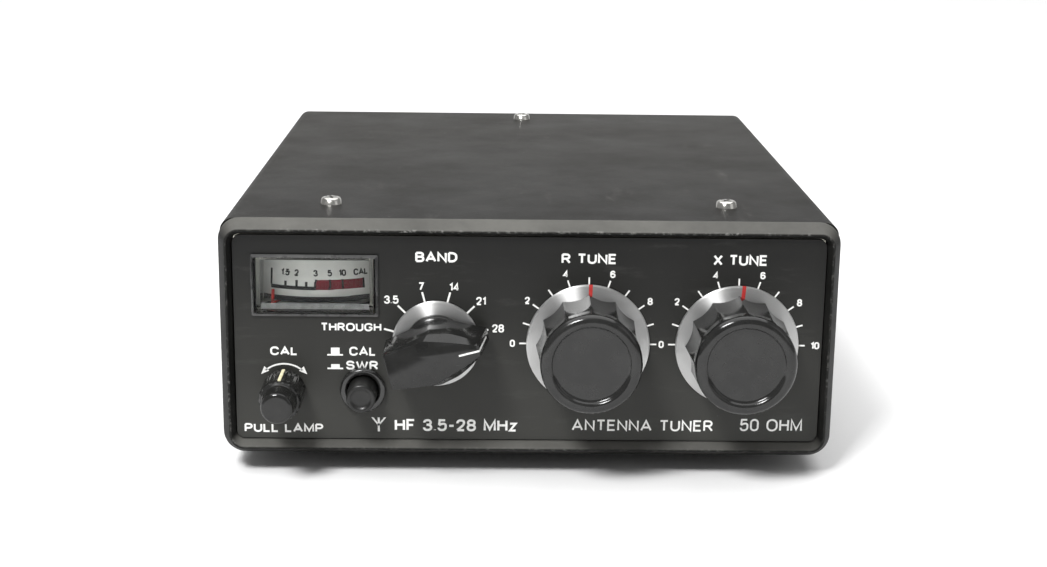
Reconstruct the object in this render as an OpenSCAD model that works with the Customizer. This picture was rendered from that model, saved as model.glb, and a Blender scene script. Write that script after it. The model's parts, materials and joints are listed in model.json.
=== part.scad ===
// Antenna tuner: a sheet-metal cabinet with three rotary controls, a level control with
// a pull switch, a push button and an edgewise meter, over a tapped-coil matching circuit.
// Origin: centre of the overall box in X and Y, on the surface the feet stand on.
// The controls face -Y. +Z is up. Lengths are millimetres.

/* [Cabinet] */
// Width of the front bezel
case_w = 165; // [164:0.5:168]
// Height of the front bezel
case_h = 65; // [64.5:0.5:66]
// Depth from the bezel's front ridge to the rear edge of the covers
case_d = 195; // [190:1:205]
// Height of the rubber feet
foot_h = 5; // [3:0.5:8]
// Thickness of the covers' sheet
cover_t = 1; // [0.8:0.1:1.2]
// Thickness of the chassis sheet
chassis_t = 1.2; // [1:0.1:1.2]

/* [Front panel] */
// How far the front panel sits behind the bezel's ridge
panel_y = 2.5; // [2.5:0.1:3]
// Thickness of the front panel
panel_t = 1.5; // [1.2:0.1:1.5]
// Height of the row of tuning controls above the bezel's bottom edge
tune_z = 31.7; // [31.5:0.1:32]

/* [Controls] */
// Sideways place of the R TUNE control
r_x = 15.75; // [15:0.25:16]
// Sideways place of the X TUNE control
x_x = 55.6; // [55:0.1:56]
// Sideways place of the BAND control
band_x = -24.8; // [-25:0.1:-24.5]
// Radius of a tuning knob's bright skirt
skirt_r = 16.5; // [16:0.1:17]
// Radius of a tuning knob's body at its foot
knob_r = 14; // [13.6:0.1:14.2]
// How far the tuning knobs stand in front of the bezel's ridge
knob_front = 18; // [16:0.5:18]
// How far the band knob stands in front of the bezel's ridge
band_front = 15.6; // [14:0.1:16]
// Radius of the control shafts
shaft_r = 3; // [3:0.05:3.1]
// Sideways place of the CAL control
cal_x = -65.5; // [-66:0.1:-65]
// Height of the CAL control and the push button above the bezel's bottom edge
low_z = 18.6; // [18.3:0.1:19]
// Sideways place of the push button
button_x = -44.4; // [-45:0.1:-44]
// Travel of the push button
button_travel = 3; // [2:0.5:3]
// Travel of the CAL control when it is pulled
pull_travel = 3.5; // [3:0.5:4]

/* [Meter] */
// Sideways place of the meter's centre
meter_x = -56.9; // [-57.5:0.1:-56.5]
// Radius of the meter's curved scale
scale_r = 26; // [25:0.5:26]
// Depth of the meter's pivot behind the bezel's ridge
pivot_y = 33.5; // [33:0.5:34]

/* [Circuit] */
// Radius of the variable capacitors' plates
plate_r = 16.5; // [15:0.5:16.5]
// Thickness of the capacitor plates
plate_t = 0.6; // [0.5:0.1:0.8]
// Plates on each rotor
rotor_count = 9; // [6:1:10]
// Outside radius of the tank coil's former
former_r = 18; // [16:0.5:19]
// Turns on the tank coil
coil_turns = 16; // [10:1:18]
// Radius of a coaxial socket's threaded shell
socket_r = 7.94; // [7.9:0.01:8]
// How far the coaxial sockets stand behind the rear panel
socket_out = 13.3; // [12:0.1:14]

/* [Hidden] */
$fn = 64;
rear_y = case_d - 1;
rear_out = socket_out - 1;
overall_d = knob_front + case_d + rear_out;
origin = [0, knob_front - overall_d / 2, foot_h];
panel_back = panel_y + panel_t;
sub_back = panel_back + chassis_t;
open_w = 157.6;
meter_lo = 39.7;
meter_hi = 55.1;
open_lo = 4.3;
open_hi = 61.1;
panel_gap = 0.3;
base_z = 3.4;
base_top = base_z + chassis_t;
plate_lo = base_top;
flute_r = 9.6;
plate_hi = 61.6;
chassis_hw = 78.3;
cover_hw = case_w / 2 - 0.4;
cover_top = case_h - 0.4;
boss_h = cover_top - cover_t - plate_hi;
cover_front = 5.7;
seam_z = 32.5;
screw_x = 54.5;
screw_y = 26;
rear_screw_y = 182;
foot_x = 62;
foot_y = [30, 168];
foot_recess = 2.4;
foot_head_h = 1.7;
bottom_screw_x = [-40, 40];
bottom_screw_y = [50, 150];
side_wall_y = 14.4;
side_wall_top = 43;
bezel_screw_y = 10;
bezel_screw_z = [14, 50];
screw_pitch = 9.13;
bush_r = 4.5;
bush_bore = shaft_r + 0.05;
socket_x = 45;
socket_z = 33;
ground_z = 17;
jack_z = 42;
jack_bore = 1.8;
jack_depth = 12;
lock_nut_end = rear_y + 2.4;
stud_r = 2;
stud_seat_r = 1.8;
stud_free_y = lock_nut_end + 5.8;
stud_end = rear_y + 12.5;
frame_w = 37;
frame_half_h = 20.5;
stator_rod_x = 14.6;
stator_rod_drop = 13.4;
stator_rod_r = 1.25;
r_frame_y = [9.5, 62];
x_frame_y = [25, 77.5];
rotor_start = 6;
rotor_pitch = 5;
r_turn = 1.5;
x_turn = 4.5;
wafer_y = [48, 61, 74];
wafer_r = 17;
band_rod_x = 15.2;
band_rod_r = 1.25;
coil_y = 122;
coil_z = 32;
coil_half = 27;
toroid_y = 168;

contact_end = rear_y - 14.1;
wire_runs = [
    [[-socket_x, contact_end, socket_z], [-45, 145, 33], [-45, 120, 50], [-38.6, 76, 45.6]],
    [[-19.8, 62.8, 50.5], [-19.8, 80, 55.5], [-18, 108, 55.5], [-18, coil_y, 52.6]],
    [[-5.2, 50, 36.7], [-5.2, 66, 36.7], [6, 78, 36.7], [6, 101.2, 32]],
    [[41, 80.4, 18.3], [41, 95, 18.3], [36, 112, 40], [36, coil_y, 54.5], [22, coil_y, 54.5],
        [22, coil_y, 52.6]],
    [[x_x, 82.4, tune_z], [55, 100, 32], [45, 150, 33], [socket_x, contact_end, socket_z]],
    [[30.4, 64.8, 18.3], [30.4, 76, 18.3], [34, 90, 7], [34, 96, 5.4]]];

// ---------- shared shapes ----------

// A cylinder along +Y from y0 to y1
module y_rod(x, z, r, y0, y1, fn = 64)
    translate([x, y0, z]) rotate([-90, 0, 0]) cylinder(r = r, h = y1 - y0, $fn = fn);

// A body turned about a Y axis, from points of [radius, distance along +Y]
module y_turned(x, z, points, fn = 96)
    translate([x, 0, z]) rotate([-90, 0, 0]) rotate_extrude($fn = fn) polygon(points);

// A box given by its low and high corners
module box(lo, hi) translate(lo) cube(hi - lo);

// A round-cornered rectangle in the XZ plane, extruded from y0 to y1
module y_slab(lo, hi, r, y0, y1)
    translate([0, y1, 0]) rotate([90, 0, 0]) linear_extrude(y1 - y0) rounded(lo, hi, r);

module rounded(lo, hi, r) {
    translate([lo[0] + r, lo[1]]) square([hi[0] - lo[0] - 2 * r, hi[1] - lo[1]]);
    translate([lo[0], lo[1] + r]) square([hi[0] - lo[0], hi[1] - lo[1] - 2 * r]);
    for (x = [lo[0] + r, hi[0] - r], z = [lo[1] + r, hi[1] - r])
        translate([x, z]) circle(r = r, $fn = 32);
}

// A pan-head screw along -Z: its head's top is at z, and its shank reaches down
module pan_screw(x, y, z, head_r, head_h, shank_r, length)
    translate([x, y, z]) difference() {
        union() {
            translate([0, 0, -head_h]) cylinder(r = head_r, h = head_h * 0.6, $fn = 40);
            translate([0, 0, -head_h * 0.4])
                cylinder(r1 = head_r, r2 = head_r * 0.7, h = head_h * 0.4, $fn = 40);
            translate([0, 0, -head_h - length]) cylinder(r = shank_r, h = length + 0.01, $fn = 32);
        }
        for (a = [0, 90]) rotate(a) translate([-head_r * 0.55, -0.35, -head_h * 0.7])
            cube([head_r * 1.1, 0.7, head_h]);
    }

// A point at angle a on a helix about the X axis
function helix_point(r, a, pitch, x0) = [x0 + pitch * a / 360, r * cos(a), r * sin(a)];

// A round wire wound about the X axis, sides facets round and steps facets a turn
module helix_x(r, wire_r, x0, pitch, turns, steps, sides) {
    rings = turns * steps;
    points = [for (i = [0:rings], k = [0:sides - 1])
        let (a = i * 360 / steps, b = k * 360 / sides)
        helix_point(r + wire_r * cos(b), a, pitch, x0) + [wire_r * sin(b), 0, 0]];
    sides_faces = [for (i = [0:rings - 1], k = [0:sides - 1])
        [i * sides + k, i * sides + (k + 1) % sides,
         (i + 1) * sides + (k + 1) % sides, (i + 1) * sides + k]];
    caps = [[for (k = [0:sides - 1]) sides - 1 - k], [for (k = [0:sides - 1]) rings * sides + k]];
    polyhedron(points, concat(sides_faces, caps));
}

// ---------- cabinet ----------

module front_bezel() translate(origin) color([0.13, 0.13, 0.13]) {
    lip = 1.5;
    difference() {
        union() {
            hull() {
                y_slab([-case_w / 2 + 2.15, 2.15], [case_w / 2 - 2.15, case_h - 2.15], 4.2, 0, 0.2);
                y_slab([-case_w / 2, 0], [case_w / 2, case_h], 6, 4.3, 5.5);
            }
            y_slab([-case_w / 2 + lip, lip], [case_w / 2 - lip, case_h - lip], 4, 5.4, 14);
        }
        hull() {
            y_slab([-case_w / 2 + 2.7, 2.7], [case_w / 2 - 2.7, case_h - 2.7], 3.6, -1, 0);
            y_slab([-open_w / 2, open_lo], [open_w / 2, open_hi], 2.5, panel_y - 0.1, panel_y);
        }
        y_slab([-open_w / 2, open_lo], [open_w / 2, open_hi], 2.5, 2, panel_back);
        y_slab([-chassis_hw - 0.1, base_z - 0.1], [chassis_hw + 0.1, plate_hi + 0.1], 0.3, panel_back, 15);
        bezel_screw_holes(case_w / 2 - 5, 1.6, 10);
        bezel_screw_holes(case_w / 2 - 1.7, 2.9, 1.4);
    }
}

// Holes along X for the screws that hold the bezel to the sub-panel's side flanges
module bezel_screw_holes(x, r, length)
    for (s = [-1, 1], z = bezel_screw_z) translate([s * x, bezel_screw_y, z])
        rotate([0, 90, 0]) cylinder(r = r, h = length, center = true, $fn = 32);

module front_panel() translate(origin) color([0.22, 0.22, 0.21]) difference() {
    y_slab([-open_w / 2 + panel_gap, open_lo + panel_gap], [open_w / 2 - panel_gap, open_hi - panel_gap],
        2.2, panel_y, panel_back);
    panel_holes(panel_y - 1, panel_back + 1);
}

// The holes that the front panel and the sub-panel share
module panel_holes(y0, y1) {
    for (x = [r_x, x_x, band_x]) y_rod(x, tune_z, bush_r + 0.05, y0, y1);
    y_rod(cal_x, low_z, 3.05, y0, y1);
    y_rod(button_x, low_z, 5.05, y0, y1);
    box([meter_x - 15.6, y0, meter_lo - 0.1], [meter_x + 15.6, y1, meter_hi + 0.1]);
}

module sub_panel() translate(origin) color([0.72, 0.72, 0.68]) difference() {
    union() {
        box([-chassis_hw, panel_back, plate_lo], [chassis_hw, sub_back, plate_hi]);
        box([-70, sub_back, plate_hi - chassis_t], [70, 34, plate_hi]);
        for (s = [-1, 1])
            side_plate(s, chassis_hw - chassis_t, sub_back, 30, plate_lo, plate_hi);
        for (s = [-1, 1]) translate([s * screw_x, screw_y, plate_hi])
            cylinder(r = 3.5, h = boss_h, $fn = 48);
    }
    panel_holes(panel_back - 1, sub_back + 1);
    for (s = [-1, 1]) translate([s * screw_x, screw_y, plate_hi - 5]) cylinder(r = 1.3, h = 12, $fn = 32);
    bezel_screw_holes(chassis_hw, 1.3, 8);
}

module chassis_base() translate(origin) color([0.72, 0.72, 0.68]) difference() {
    union() {
        box([-chassis_hw, sub_back, base_z], [chassis_hw, rear_y - chassis_t, base_top]);
        box([-60, sub_back, base_top], [60, sub_back + chassis_t, 9.5]);
        box([-60, rear_y - 2 * chassis_t, base_top], [60, rear_y - chassis_t, 9.5]);
        for (s = [-1, 1]) side_plate(s, chassis_hw, side_wall_y, rear_y - chassis_t, base_z, side_wall_top);
    }
    for (x = [-foot_x, foot_x], y = foot_y) translate([x, y, 0]) cylinder(r = 1.6, h = 8, $fn = 32);
    for (x = bottom_screw_x, y = bottom_screw_y) translate([x, y, 0]) cylinder(r = 1.3, h = 8, $fn = 32);
}

// A chassis-thick wall on side s whose inner face is at x
module side_plate(s, x, y0, y1, z0, z1)
    box([min(s * x, s * (x + chassis_t)), y0, z0], [max(s * x, s * (x + chassis_t)), y1, z1]);

module rear_panel() translate(origin) color([0.16, 0.16, 0.16]) difference() {
    union() {
        y_slab([-81, 1.6], [81, 63.4], 2.3, rear_y - chassis_t, rear_y);
        box([-70, 172, plate_hi - chassis_t], [70, rear_y - chassis_t, plate_hi]);
        translate([0, rear_screw_y, plate_hi]) cylinder(r = 3.5, h = boss_h, $fn = 48);
    }
    translate([0, rear_screw_y, plate_hi - 5]) cylinder(r = 1.3, h = 12, $fn = 32);
    for (s = [-1, 1]) y_rod(s * socket_x, socket_z, 6.6, rear_y - 5, rear_y + 1);
    socket_screw_holes(rear_y - 5, rear_y + 1);
    y_rod(0, ground_z, stud_r + 0.3, rear_y - 5, rear_y + 1, 32);
    y_rod(0, jack_z, 4.05, rear_y - 5, rear_y + 1);
}

module socket_screw_holes(y0, y1)
    for (s = [-1, 1], p = [-screw_pitch, screw_pitch], q = [-screw_pitch, screw_pitch])
        y_rod(s * socket_x + p, socket_z + q, 1.55, y0, y1, 32);

module top_cover() translate(origin) color([0.27, 0.26, 0.25]) difference() {
    translate([0, case_d, 0]) rotate([90, 0, 0]) linear_extrude(case_d - cover_front) difference() {
        cover_outline(0);
        cover_outline(cover_t);
        translate([-100, -10]) square([200, seam_z + 10.2]);
    }
    for (s = [-1, 1]) translate([s * screw_x, screw_y, 50]) cylinder(r = 1.7, h = 20, $fn = 32);
    translate([0, rear_screw_y, 50]) cylinder(r = 1.7, h = 20, $fn = 32);
}

// The covers' closed outline, moved in by inset
module cover_outline(inset)
    rounded([-cover_hw + inset, 0.4 + inset], [cover_hw - inset, cover_top - inset], 3.5 - inset);

module bottom_cover() translate(origin) color([0.27, 0.26, 0.25]) difference() {
    translate([0, case_d, 0]) rotate([90, 0, 0]) linear_extrude(case_d - cover_front) difference() {
        cover_outline(0);
        cover_outline(cover_t);
        translate([-100, seam_z - 0.2]) square([200, 60]);
    }
    for (x = [-foot_x, foot_x], y = foot_y) translate([x, y, -2]) cylinder(r = 1.7, h = 8, $fn = 32);
    for (x = bottom_screw_x, y = bottom_screw_y) translate([x, y, -2]) cylinder(r = 1.7, h = 8, $fn = 32);
}

// The pan-head screw that fastens both covers
module cover_screw(x, y, z) pan_screw(x, y, z + 1.9, 3, 1.9, 1.25, 5.5);

module cover_screws() translate(origin) color([0.8, 0.8, 0.8]) {
    for (s = [-1, 1]) cover_screw(s * screw_x, screw_y, cover_top);
    cover_screw(0, rear_screw_y, cover_top);
    for (x = bottom_screw_x, y = bottom_screw_y) mirror([0, 0, 1]) cover_screw(x, y, -0.4);
}

// The bezel's side screws, the screws in the feet and the screws in the sockets' flanges
module chassis_screws() translate(origin) color([0.8, 0.8, 0.8]) {
    for (s = [-1, 1], z = bezel_screw_z) translate([s * (case_w / 2 - 2.3), bezel_screw_y, z])
        rotate([0, s * 90, 0]) {
            cylinder(r = 2.8, h = 0.75, $fn = 32);
            translate([0, 0, -5]) cylinder(r = 1.25, h = 5.01, $fn = 32);
        }
    for (x = [-foot_x, foot_x], y = foot_y) mirror([0, 0, 1])
        pan_screw(x, y, foot_h - foot_recess + foot_head_h, 3, foot_head_h, 1.5, 8);
    for (s = [-1, 1], p = [-screw_pitch, screw_pitch], q = [-screw_pitch, screw_pitch])
        translate([s * socket_x + p, rear_y + 3.2, socket_z + q]) rotate([-90, 0, 0])
            pan_screw(0, 0, 0, 2.7, 1.6, 1.5, 6.6);
}

module rubber_feet() translate(origin) color([0.08, 0.08, 0.08])
    for (x = [-foot_x, foot_x], y = foot_y) translate([x, y, 0]) difference() {
        rotate_extrude($fn = 64) polygon([[0, 0.4], [8, 0.4], [8, -0.6], [7, -foot_h], [0, -foot_h]]);
        translate([0, 0, -foot_h - 1]) cylinder(r = 3.4, h = foot_recess + 1, $fn = 32);
        translate([0, 0, -foot_h]) cylinder(r = 1.7, h = 10, $fn = 32);
    }

// ---------- meter ----------

module meter_window() translate(origin) color([0.85, 0.88, 0.88, 0.4]) {
    difference() {
        union() {
            y_slab([meter_x - 16.8, 38.9], [meter_x + 16.8, 55.7], 0.8, 1, panel_y);
            box([meter_x - 15.5, panel_y - 0.1, meter_lo], [meter_x + 15.5, 12, meter_hi]);
        }
        box([meter_x - 14.4, 2.6, meter_lo + 0.6], [meter_x + 14.4, 20, meter_hi - 1]);
    }
}

// The meter's case, with two ears on top that hold the lamp over a slot
module meter_case() translate(origin) color([0.85, 0.84, 0.78]) difference() {
    union() {
        box([meter_x - 15.5, 12, meter_lo], [meter_x + 15.5, 43.5, meter_hi]);
        for (s = [-1, 1]) translate([meter_x + s * 5.4, 0, 0]) box([-0.5, 12.6, 55], [0.5, 19, 59.9]);
    }
    box([meter_x - 14.5, 11, meter_lo + 0.6], [meter_x + 14.5, 42.5, meter_hi - 1]);
    box([meter_x - 4, 14, 53], [meter_x + 4, 17.2, 56]);
    translate([meter_x, 15.6, 57.6]) rotate([0, 90, 0]) cylinder(r = 1.22, h = 30, center = true, $fn = 40);
}

module meter_scale() translate(origin) color([0.9, 0.89, 0.82]) intersection() {
    translate([meter_x, pivot_y, 41.5]) difference() {
        cylinder(r = scale_r, h = 12.4, $fn = 128);
        translate([0, 0, -1]) cylinder(r = scale_r - 0.5, h = 15, $fn = 128);
    }
    box([meter_x - 14.4, 5, 40], [meter_x + 14.4, 20, 55]);
}

module meter_yoke() translate(origin) color([0.45, 0.45, 0.47]) difference() {
    union() {
        difference() {
            box([meter_x - 14.4, pivot_y - 9.4, 42.8], [meter_x + 14.4, pivot_y + 8.9, 52.6]);
            translate([meter_x, pivot_y, 40]) cylinder(r = 7.4, h = 20, $fn = 64);
        }
        translate([meter_x, pivot_y, 45.2]) cylinder(r = 4.4, h = 6, $fn = 64);
        translate([meter_x, pivot_y, 0]) box([-1.2, -7.6, 45.2], [1.2, 7.6, 51.2]);
    }
    translate([meter_x, pivot_y, 40]) cylinder(r = 0.9, h = 20, $fn = 32);
}

// The pivot staff, the arm and the bent-up pointer, and the tail weight
module meter_needle() translate(origin) color([0.85, 0.12, 0.08]) {
    a = -26;
    translate([meter_x, pivot_y, 0]) {
        translate([0, 0, meter_lo + 0.7]) cylinder(r = 0.5, h = meter_hi - meter_lo - 1.8, $fn = 32);
        rotate(a) difference() {
            union() {
                box([-0.35, -26.9, 40.6], [0.35, 5, 41]);
                box([-0.35, -26.9, 40.6], [0.35, -26.5, 44.5]);
                translate([0, 4.6, 40.6]) cylinder(r = 1.5, h = 0.9, $fn = 32);
            }
            translate([0, 0, 40]) cylinder(r = 0.5, h = 12, $fn = 32);
        }
    }
}

// The wire-wound frame that turns in the magnet's gap
module meter_coil() translate(origin) color([0.75, 0.42, 0.2]) translate([meter_x, pivot_y, 0]) rotate(-26)
    difference() {
        box([-6.7, -1.1, 44], [6.7, 1.1, 52.4]);
        box([-5.3, -2, 44.8], [5.3, 2, 51.6]);
        translate([0, 0, 40]) cylinder(r = 0.5, h = 20, $fn = 32);
    }

module meter_lamp() translate(origin) color([0.95, 0.9, 0.7, 0.6]) translate([meter_x, 15.6, 57.6])
    rotate([0, 90, 0]) rotate_extrude($fn = 40) polygon([[0, -6], [1.2, -6], [1.2, -4.8], [1.9, -4.2],
        [1.9, 4.2], [1.2, 4.8], [1.2, 6], [0, 6]]);

// ---------- shared control pieces ----------

// Threaded bush through the panels with its front nut
module panel_bush(x, z, r, bore, nut_r, back) difference() {
    union() {
        y_rod(x, z, r, 0.2, back);
        translate([x, 0.4, z]) rotate([-90, 0, 0]) cylinder(r = nut_r, h = panel_y - 0.4, $fn = 6);
    }
    y_rod(x, z, bore, -1, back + 1);
}

// A bright disc round a knob's foot, with the red index line cut into it
module dial_skirt(x, r, hub, mark, turn) difference() {
    y_turned(x, tune_z, [[hub, 1.2], [r - 0.7, 1.2], [r, 1.5], [r, 2.1], [hub, 2.1]]);
    if (mark) translate([x, 0, tune_z]) rotate([0, turn, 0]) box([-0.5, 1, hub + 0.5], [0.5, 1.35, r + 1]);
}

// A fluted tuning knob: its foot, twelve scallops, a raised front rim and a sunk face
module tuning_knob(x) difference() {
    y_turned(x, tune_z, [[0, -knob_front + 1], [9.9, -knob_front + 1], [10.4, -knob_front + 0.2],
        [10.9, -knob_front], [12.2, -knob_front], [13.2, -knob_front + 1], [knob_r, 1.2], [0, 1.2]]);
    for (i = [0:11]) translate([x, 0, tune_z]) rotate([0, i * 30 + 15, 0])
        y_rod(0, 12.9 + flute_r, flute_r, -knob_front + 2.2, 1.6);
    y_turned(x, tune_z, [[0, -0.4], [8, -0.4], [8, 2], [0, 2]]);
    y_rod(x, tune_z, shaft_r, -12, 2);
}

module control_shaft(x, y0, y1) difference() {
    y_rod(x, tune_z, shaft_r, y0, y1);
    if (y0 < -11) box([x - 4, y0 - 1, tune_z + 2.3], [x + 4, y0 + 10, tune_z + 4]);
}

// A capacitor's two end plates and the four rods between them
module capacitor_frame(x, ys, bore) difference() {
    union() {
        for (y = ys) y_slab([x - frame_w / 2, tune_z - frame_half_h],
            [x + frame_w / 2, tune_z + frame_half_h], 2, y, y + 2);
        for (s = [-1, 1], q = [-18.6, 18.6])
            y_rod(x + s * 16.4, tune_z + q, 1.4, ys[0] + 1, ys[1] + 1, 32);
    }
    y_rod(x, tune_z, bore, ys[0] - 1, ys[1] + 3);
    for (s = [-1, 1], y = ys)
        y_rod(x + s * stator_rod_x, tune_z - stator_rod_drop, stator_rod_r + 0.05, y - 1, y + 3, 32);
}

// Half-round plates on a hub. They face -X at turn 0, and face down at the dial's zero
module rotor_plates(x, y0, turn) translate([x, 0, tune_z]) rotate([0, 90 + turn, 0]) {
    difference() {
        union() {
            for (i = [0:rotor_count - 1]) translate([0, y0 + rotor_start + i * rotor_pitch, 0])
                half_plate(plate_r);
            y_rod(0, 0, 4.4, y0 + 3.2, y0 + rotor_start + rotor_pitch * (rotor_count - 1) + 3.5);
        }
        y_rod(0, 0, shaft_r + 0.01, y0 - 5, y0 + 100);
    }
}

module half_plate(r) rotate([-90, 0, 0]) linear_extrude(plate_t) difference() {
    circle(r = r, $fn = 96);
    translate([-50, -100]) square([100, 98.5]);
}

// Fixed half plates below the shaft, on two rods that run between the end plates
module stator_plates(x, y0, y1) {
    difference() {
        for (i = [0:rotor_count - 2]) translate([x, y0 + rotor_start + (i + 0.5) * rotor_pitch, tune_z])
            rotate([-90, 0, 0]) linear_extrude(plate_t) difference() {
                translate([-17.4, 1]) square([34.8, 16]);
                circle(r = 5.6, $fn = 64);
            }
        for (s = [-1, 1])
            y_rod(x + s * stator_rod_x, tune_z - stator_rod_drop, stator_rod_r, y0 - 1, y1 + 3, 32);
    }
    for (s = [-1, 1])
        y_rod(x + s * stator_rod_x, tune_z - stator_rod_drop, stator_rod_r, y0, y1 + 2, 32);
}

// ---------- band selector ----------

module band_knob() translate(origin) color([0.1, 0.1, 0.1]) difference() {
    union() {
        y_turned(band_x, tune_z, [[0, -1.2], [7.4, -1.2], [8.2, -0.4], [8.2, 1.2], [0, 1.2]]);
        translate([band_x, 0, tune_z]) rotate([0, -15, 0]) hull() {
            bar_slice(-band_front, 0);
            bar_slice(-band_front + 2.4, 1);
            bar_slice(-1, 1.3);
        }
    }
    y_rod(band_x, tune_z, 7.2, -0.4, 2);
    y_rod(band_x, tune_z, shaft_r, -9, 2);
}

// A thin slice of the band knob's bar at y: flat tail, wide middle, narrow nose, spread by grow
module bar_slice(y, grow) {
    nose = 12.1 + 0.15 * (y + band_front);
    half = [[-12.3 - 0.2 * grow, 4.6 + 0.3 * grow], [-1.2 + 1.2 * grow, 6.05 + grow],
        [5.4, 3.9 + 2 * grow], [9.5, 2.4 + 1.3 * grow], [nose, 1.4 + 0.3 * grow]];
    outline = concat([for (i = [0:4]) [half[i][0], -half[i][1]]], [for (i = [4:-1:0]) half[i]]);
    translate([0, y + 0.1, 0]) rotate([90, 0, 0]) linear_extrude(0.1) polygon(outline);
}

module band_skirt() translate(origin) color([0.85, 0.85, 0.85]) dial_skirt(band_x, 11.7, 7.6, false, 0);

module band_shaft() translate(origin) color([0.7, 0.7, 0.7]) difference() {
    y_rod(band_x, tune_z, shaft_r, -8.9, wafer_y[2] + 5);
    for (z = [2.2, -4]) translate([band_x, 0, tune_z]) box([-5, 20, z], [5, 90, z + 1.8]);
}

module band_wafer_rotors() translate(origin) color([0.8, 0.75, 0.6]) for (y = wafer_y)
    difference() {
        union() {
            y_rod(band_x, tune_z, 7.2, y - 0.1, y + 1.7);
            y_rod(band_x, tune_z, 5, y - 0.8, y + 2.4);
            translate([band_x, 0, tune_z]) rotate([0, -15, 0]) box([4, y - 0.5, -1.2], [8, y - 0.02, 1.2]);
        }
        intersection() {
            y_rod(band_x, tune_z, shaft_r + 0.01, y - 2, y + 4);
            translate([band_x, 0, tune_z]) box([-5, y - 3, -2.21], [5, y + 5, 2.21]);
        }
    }

// The threaded bushes and nuts of the three rotary controls
module control_bushes() translate(origin) color([0.75, 0.72, 0.6]) {
    panel_bush(band_x, tune_z, bush_r, bush_bore, 6.9, sub_back);
    panel_bush(r_x, tune_z, bush_r, bush_bore, 6.9, r_frame_y[0]);
    panel_bush(x_x, tune_z, bush_r, bush_bore, 6.9, 9);
}

module band_index_housing() translate(origin) color([0.7, 0.7, 0.66]) difference() {
    union() {
        y_rod(band_x, tune_z, 13, sub_back, 12);
        translate([band_x, 0, tune_z]) box([-17, sub_back, -4.5], [17, 7.2, 4.5]);
    }
    y_rod(band_x, tune_z, bush_bore, 5, 18);
    for (s = [-1, 1]) y_rod(band_x + s * band_rod_x, tune_z, band_rod_r, 5, 18, 32);
}

module band_wafers() translate(origin) color([0.72, 0.6, 0.36]) for (y = wafer_y) difference() {
    union() {
        y_rod(band_x, tune_z, wafer_r, y, y + 1.6);
        for (i = [0:11]) translate([band_x, 0, tune_z]) rotate([0, i * 30 + 15, 0])
            box([13, y + 1.6, -0.9], [18.5, y + 2, 0.9]);
        for (i = [0:11]) translate([band_x, 0, tune_z]) rotate([0, i * 30 + 15, 0])
            box([8.2, y - 0.5, -0.7], [13.6, y, 0.7]);
    }
    y_rod(band_x, tune_z, 7.3, y - 1, y + 3);
    for (s = [-1, 1]) y_rod(band_x + s * band_rod_x, tune_z, band_rod_r, y - 1, y + 3, 32);
}

module band_rods() translate(origin) color([0.8, 0.8, 0.78]) for (s = [-1, 1]) {
    y_rod(band_x + s * band_rod_x, tune_z, band_rod_r, sub_back + 0.05, wafer_y[2] + 4.5, 32);
    for (i = [0:2]) difference() {
        y_rod(band_x + s * band_rod_x, tune_z, 1.9, i == 0 ? 7.25 : wafer_y[i - 1] + 2.05,
            wafer_y[i] - 0.05, 32);
        y_rod(band_x + s * band_rod_x, tune_z, band_rod_r - 0.01, 5, 90, 32);
    }
}

// ---------- R TUNE ----------

module r_tune_knob() translate(origin) color([0.1, 0.1, 0.1]) tuning_knob(r_x);
module r_tune_skirt() translate(origin) color([0.85, 0.85, 0.85])
    dial_skirt(r_x, skirt_r, 8.5, true, r_turn);
module r_tune_shaft() translate(origin) color([0.7, 0.7, 0.7])
    control_shaft(r_x, -11.9, r_frame_y[1] + 4);
module r_tune_rotor() translate(origin) color([0.78, 0.78, 0.76]) rotor_plates(r_x, r_frame_y[0], r_turn);
module r_tune_frame() translate(origin) color([0.75, 0.75, 0.72])
    capacitor_frame(r_x, r_frame_y, bush_bore);
module r_tune_stator() translate(origin) color([0.78, 0.78, 0.76])
    stator_plates(r_x, r_frame_y[0], r_frame_y[1]);

// ---------- X TUNE ----------

module x_tune_knob() translate(origin) color([0.1, 0.1, 0.1]) tuning_knob(x_x);
module x_tune_skirt() translate(origin) color([0.85, 0.85, 0.85])
    dial_skirt(x_x, skirt_r, 8.5, true, x_turn);
module x_tune_shaft() translate(origin) color([0.7, 0.7, 0.7]) {
    control_shaft(x_x, -11.9, 15.9);
    control_shaft(x_x, 17.1, x_frame_y[1] + 4);
}
module x_tune_coupler() translate(origin) color([0.88, 0.86, 0.8]) difference() {
    y_rod(x_x, tune_z, 6.5, 11, 22);
    y_rod(x_x, tune_z, shaft_r + 0.01, 10, 15.95);
    y_rod(x_x, tune_z, shaft_r + 0.01, 17.05, 23);
}
module x_tune_rotor() translate(origin) color([0.78, 0.78, 0.76]) rotor_plates(x_x, x_frame_y[0], x_turn);
module x_tune_frame() translate(origin) color([0.75, 0.75, 0.72])
    capacitor_frame(x_x, x_frame_y, bush_bore);
module x_tune_stator() translate(origin) color([0.78, 0.78, 0.76])
    stator_plates(x_x, x_frame_y[0], x_frame_y[1]);

// Ceramic pillars that stand both capacitors on the chassis base
module capacitor_pillars() translate(origin) color([0.92, 0.91, 0.87])
    for (c = [[r_x, r_frame_y], [x_x, x_frame_y]], y = c[1], s = [-11, 11])
        translate([c[0] + s, y + 1, base_top]) difference() {
            cylinder(r = 3.2, h = tune_z - frame_half_h - base_top, $fn = 40);
            translate([0, 0, 2]) rotate_extrude($fn = 40) translate([3.6, 0]) circle(r = 0.9, $fn = 24);
        }

// ---------- CAL level control and lamp switch ----------

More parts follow.
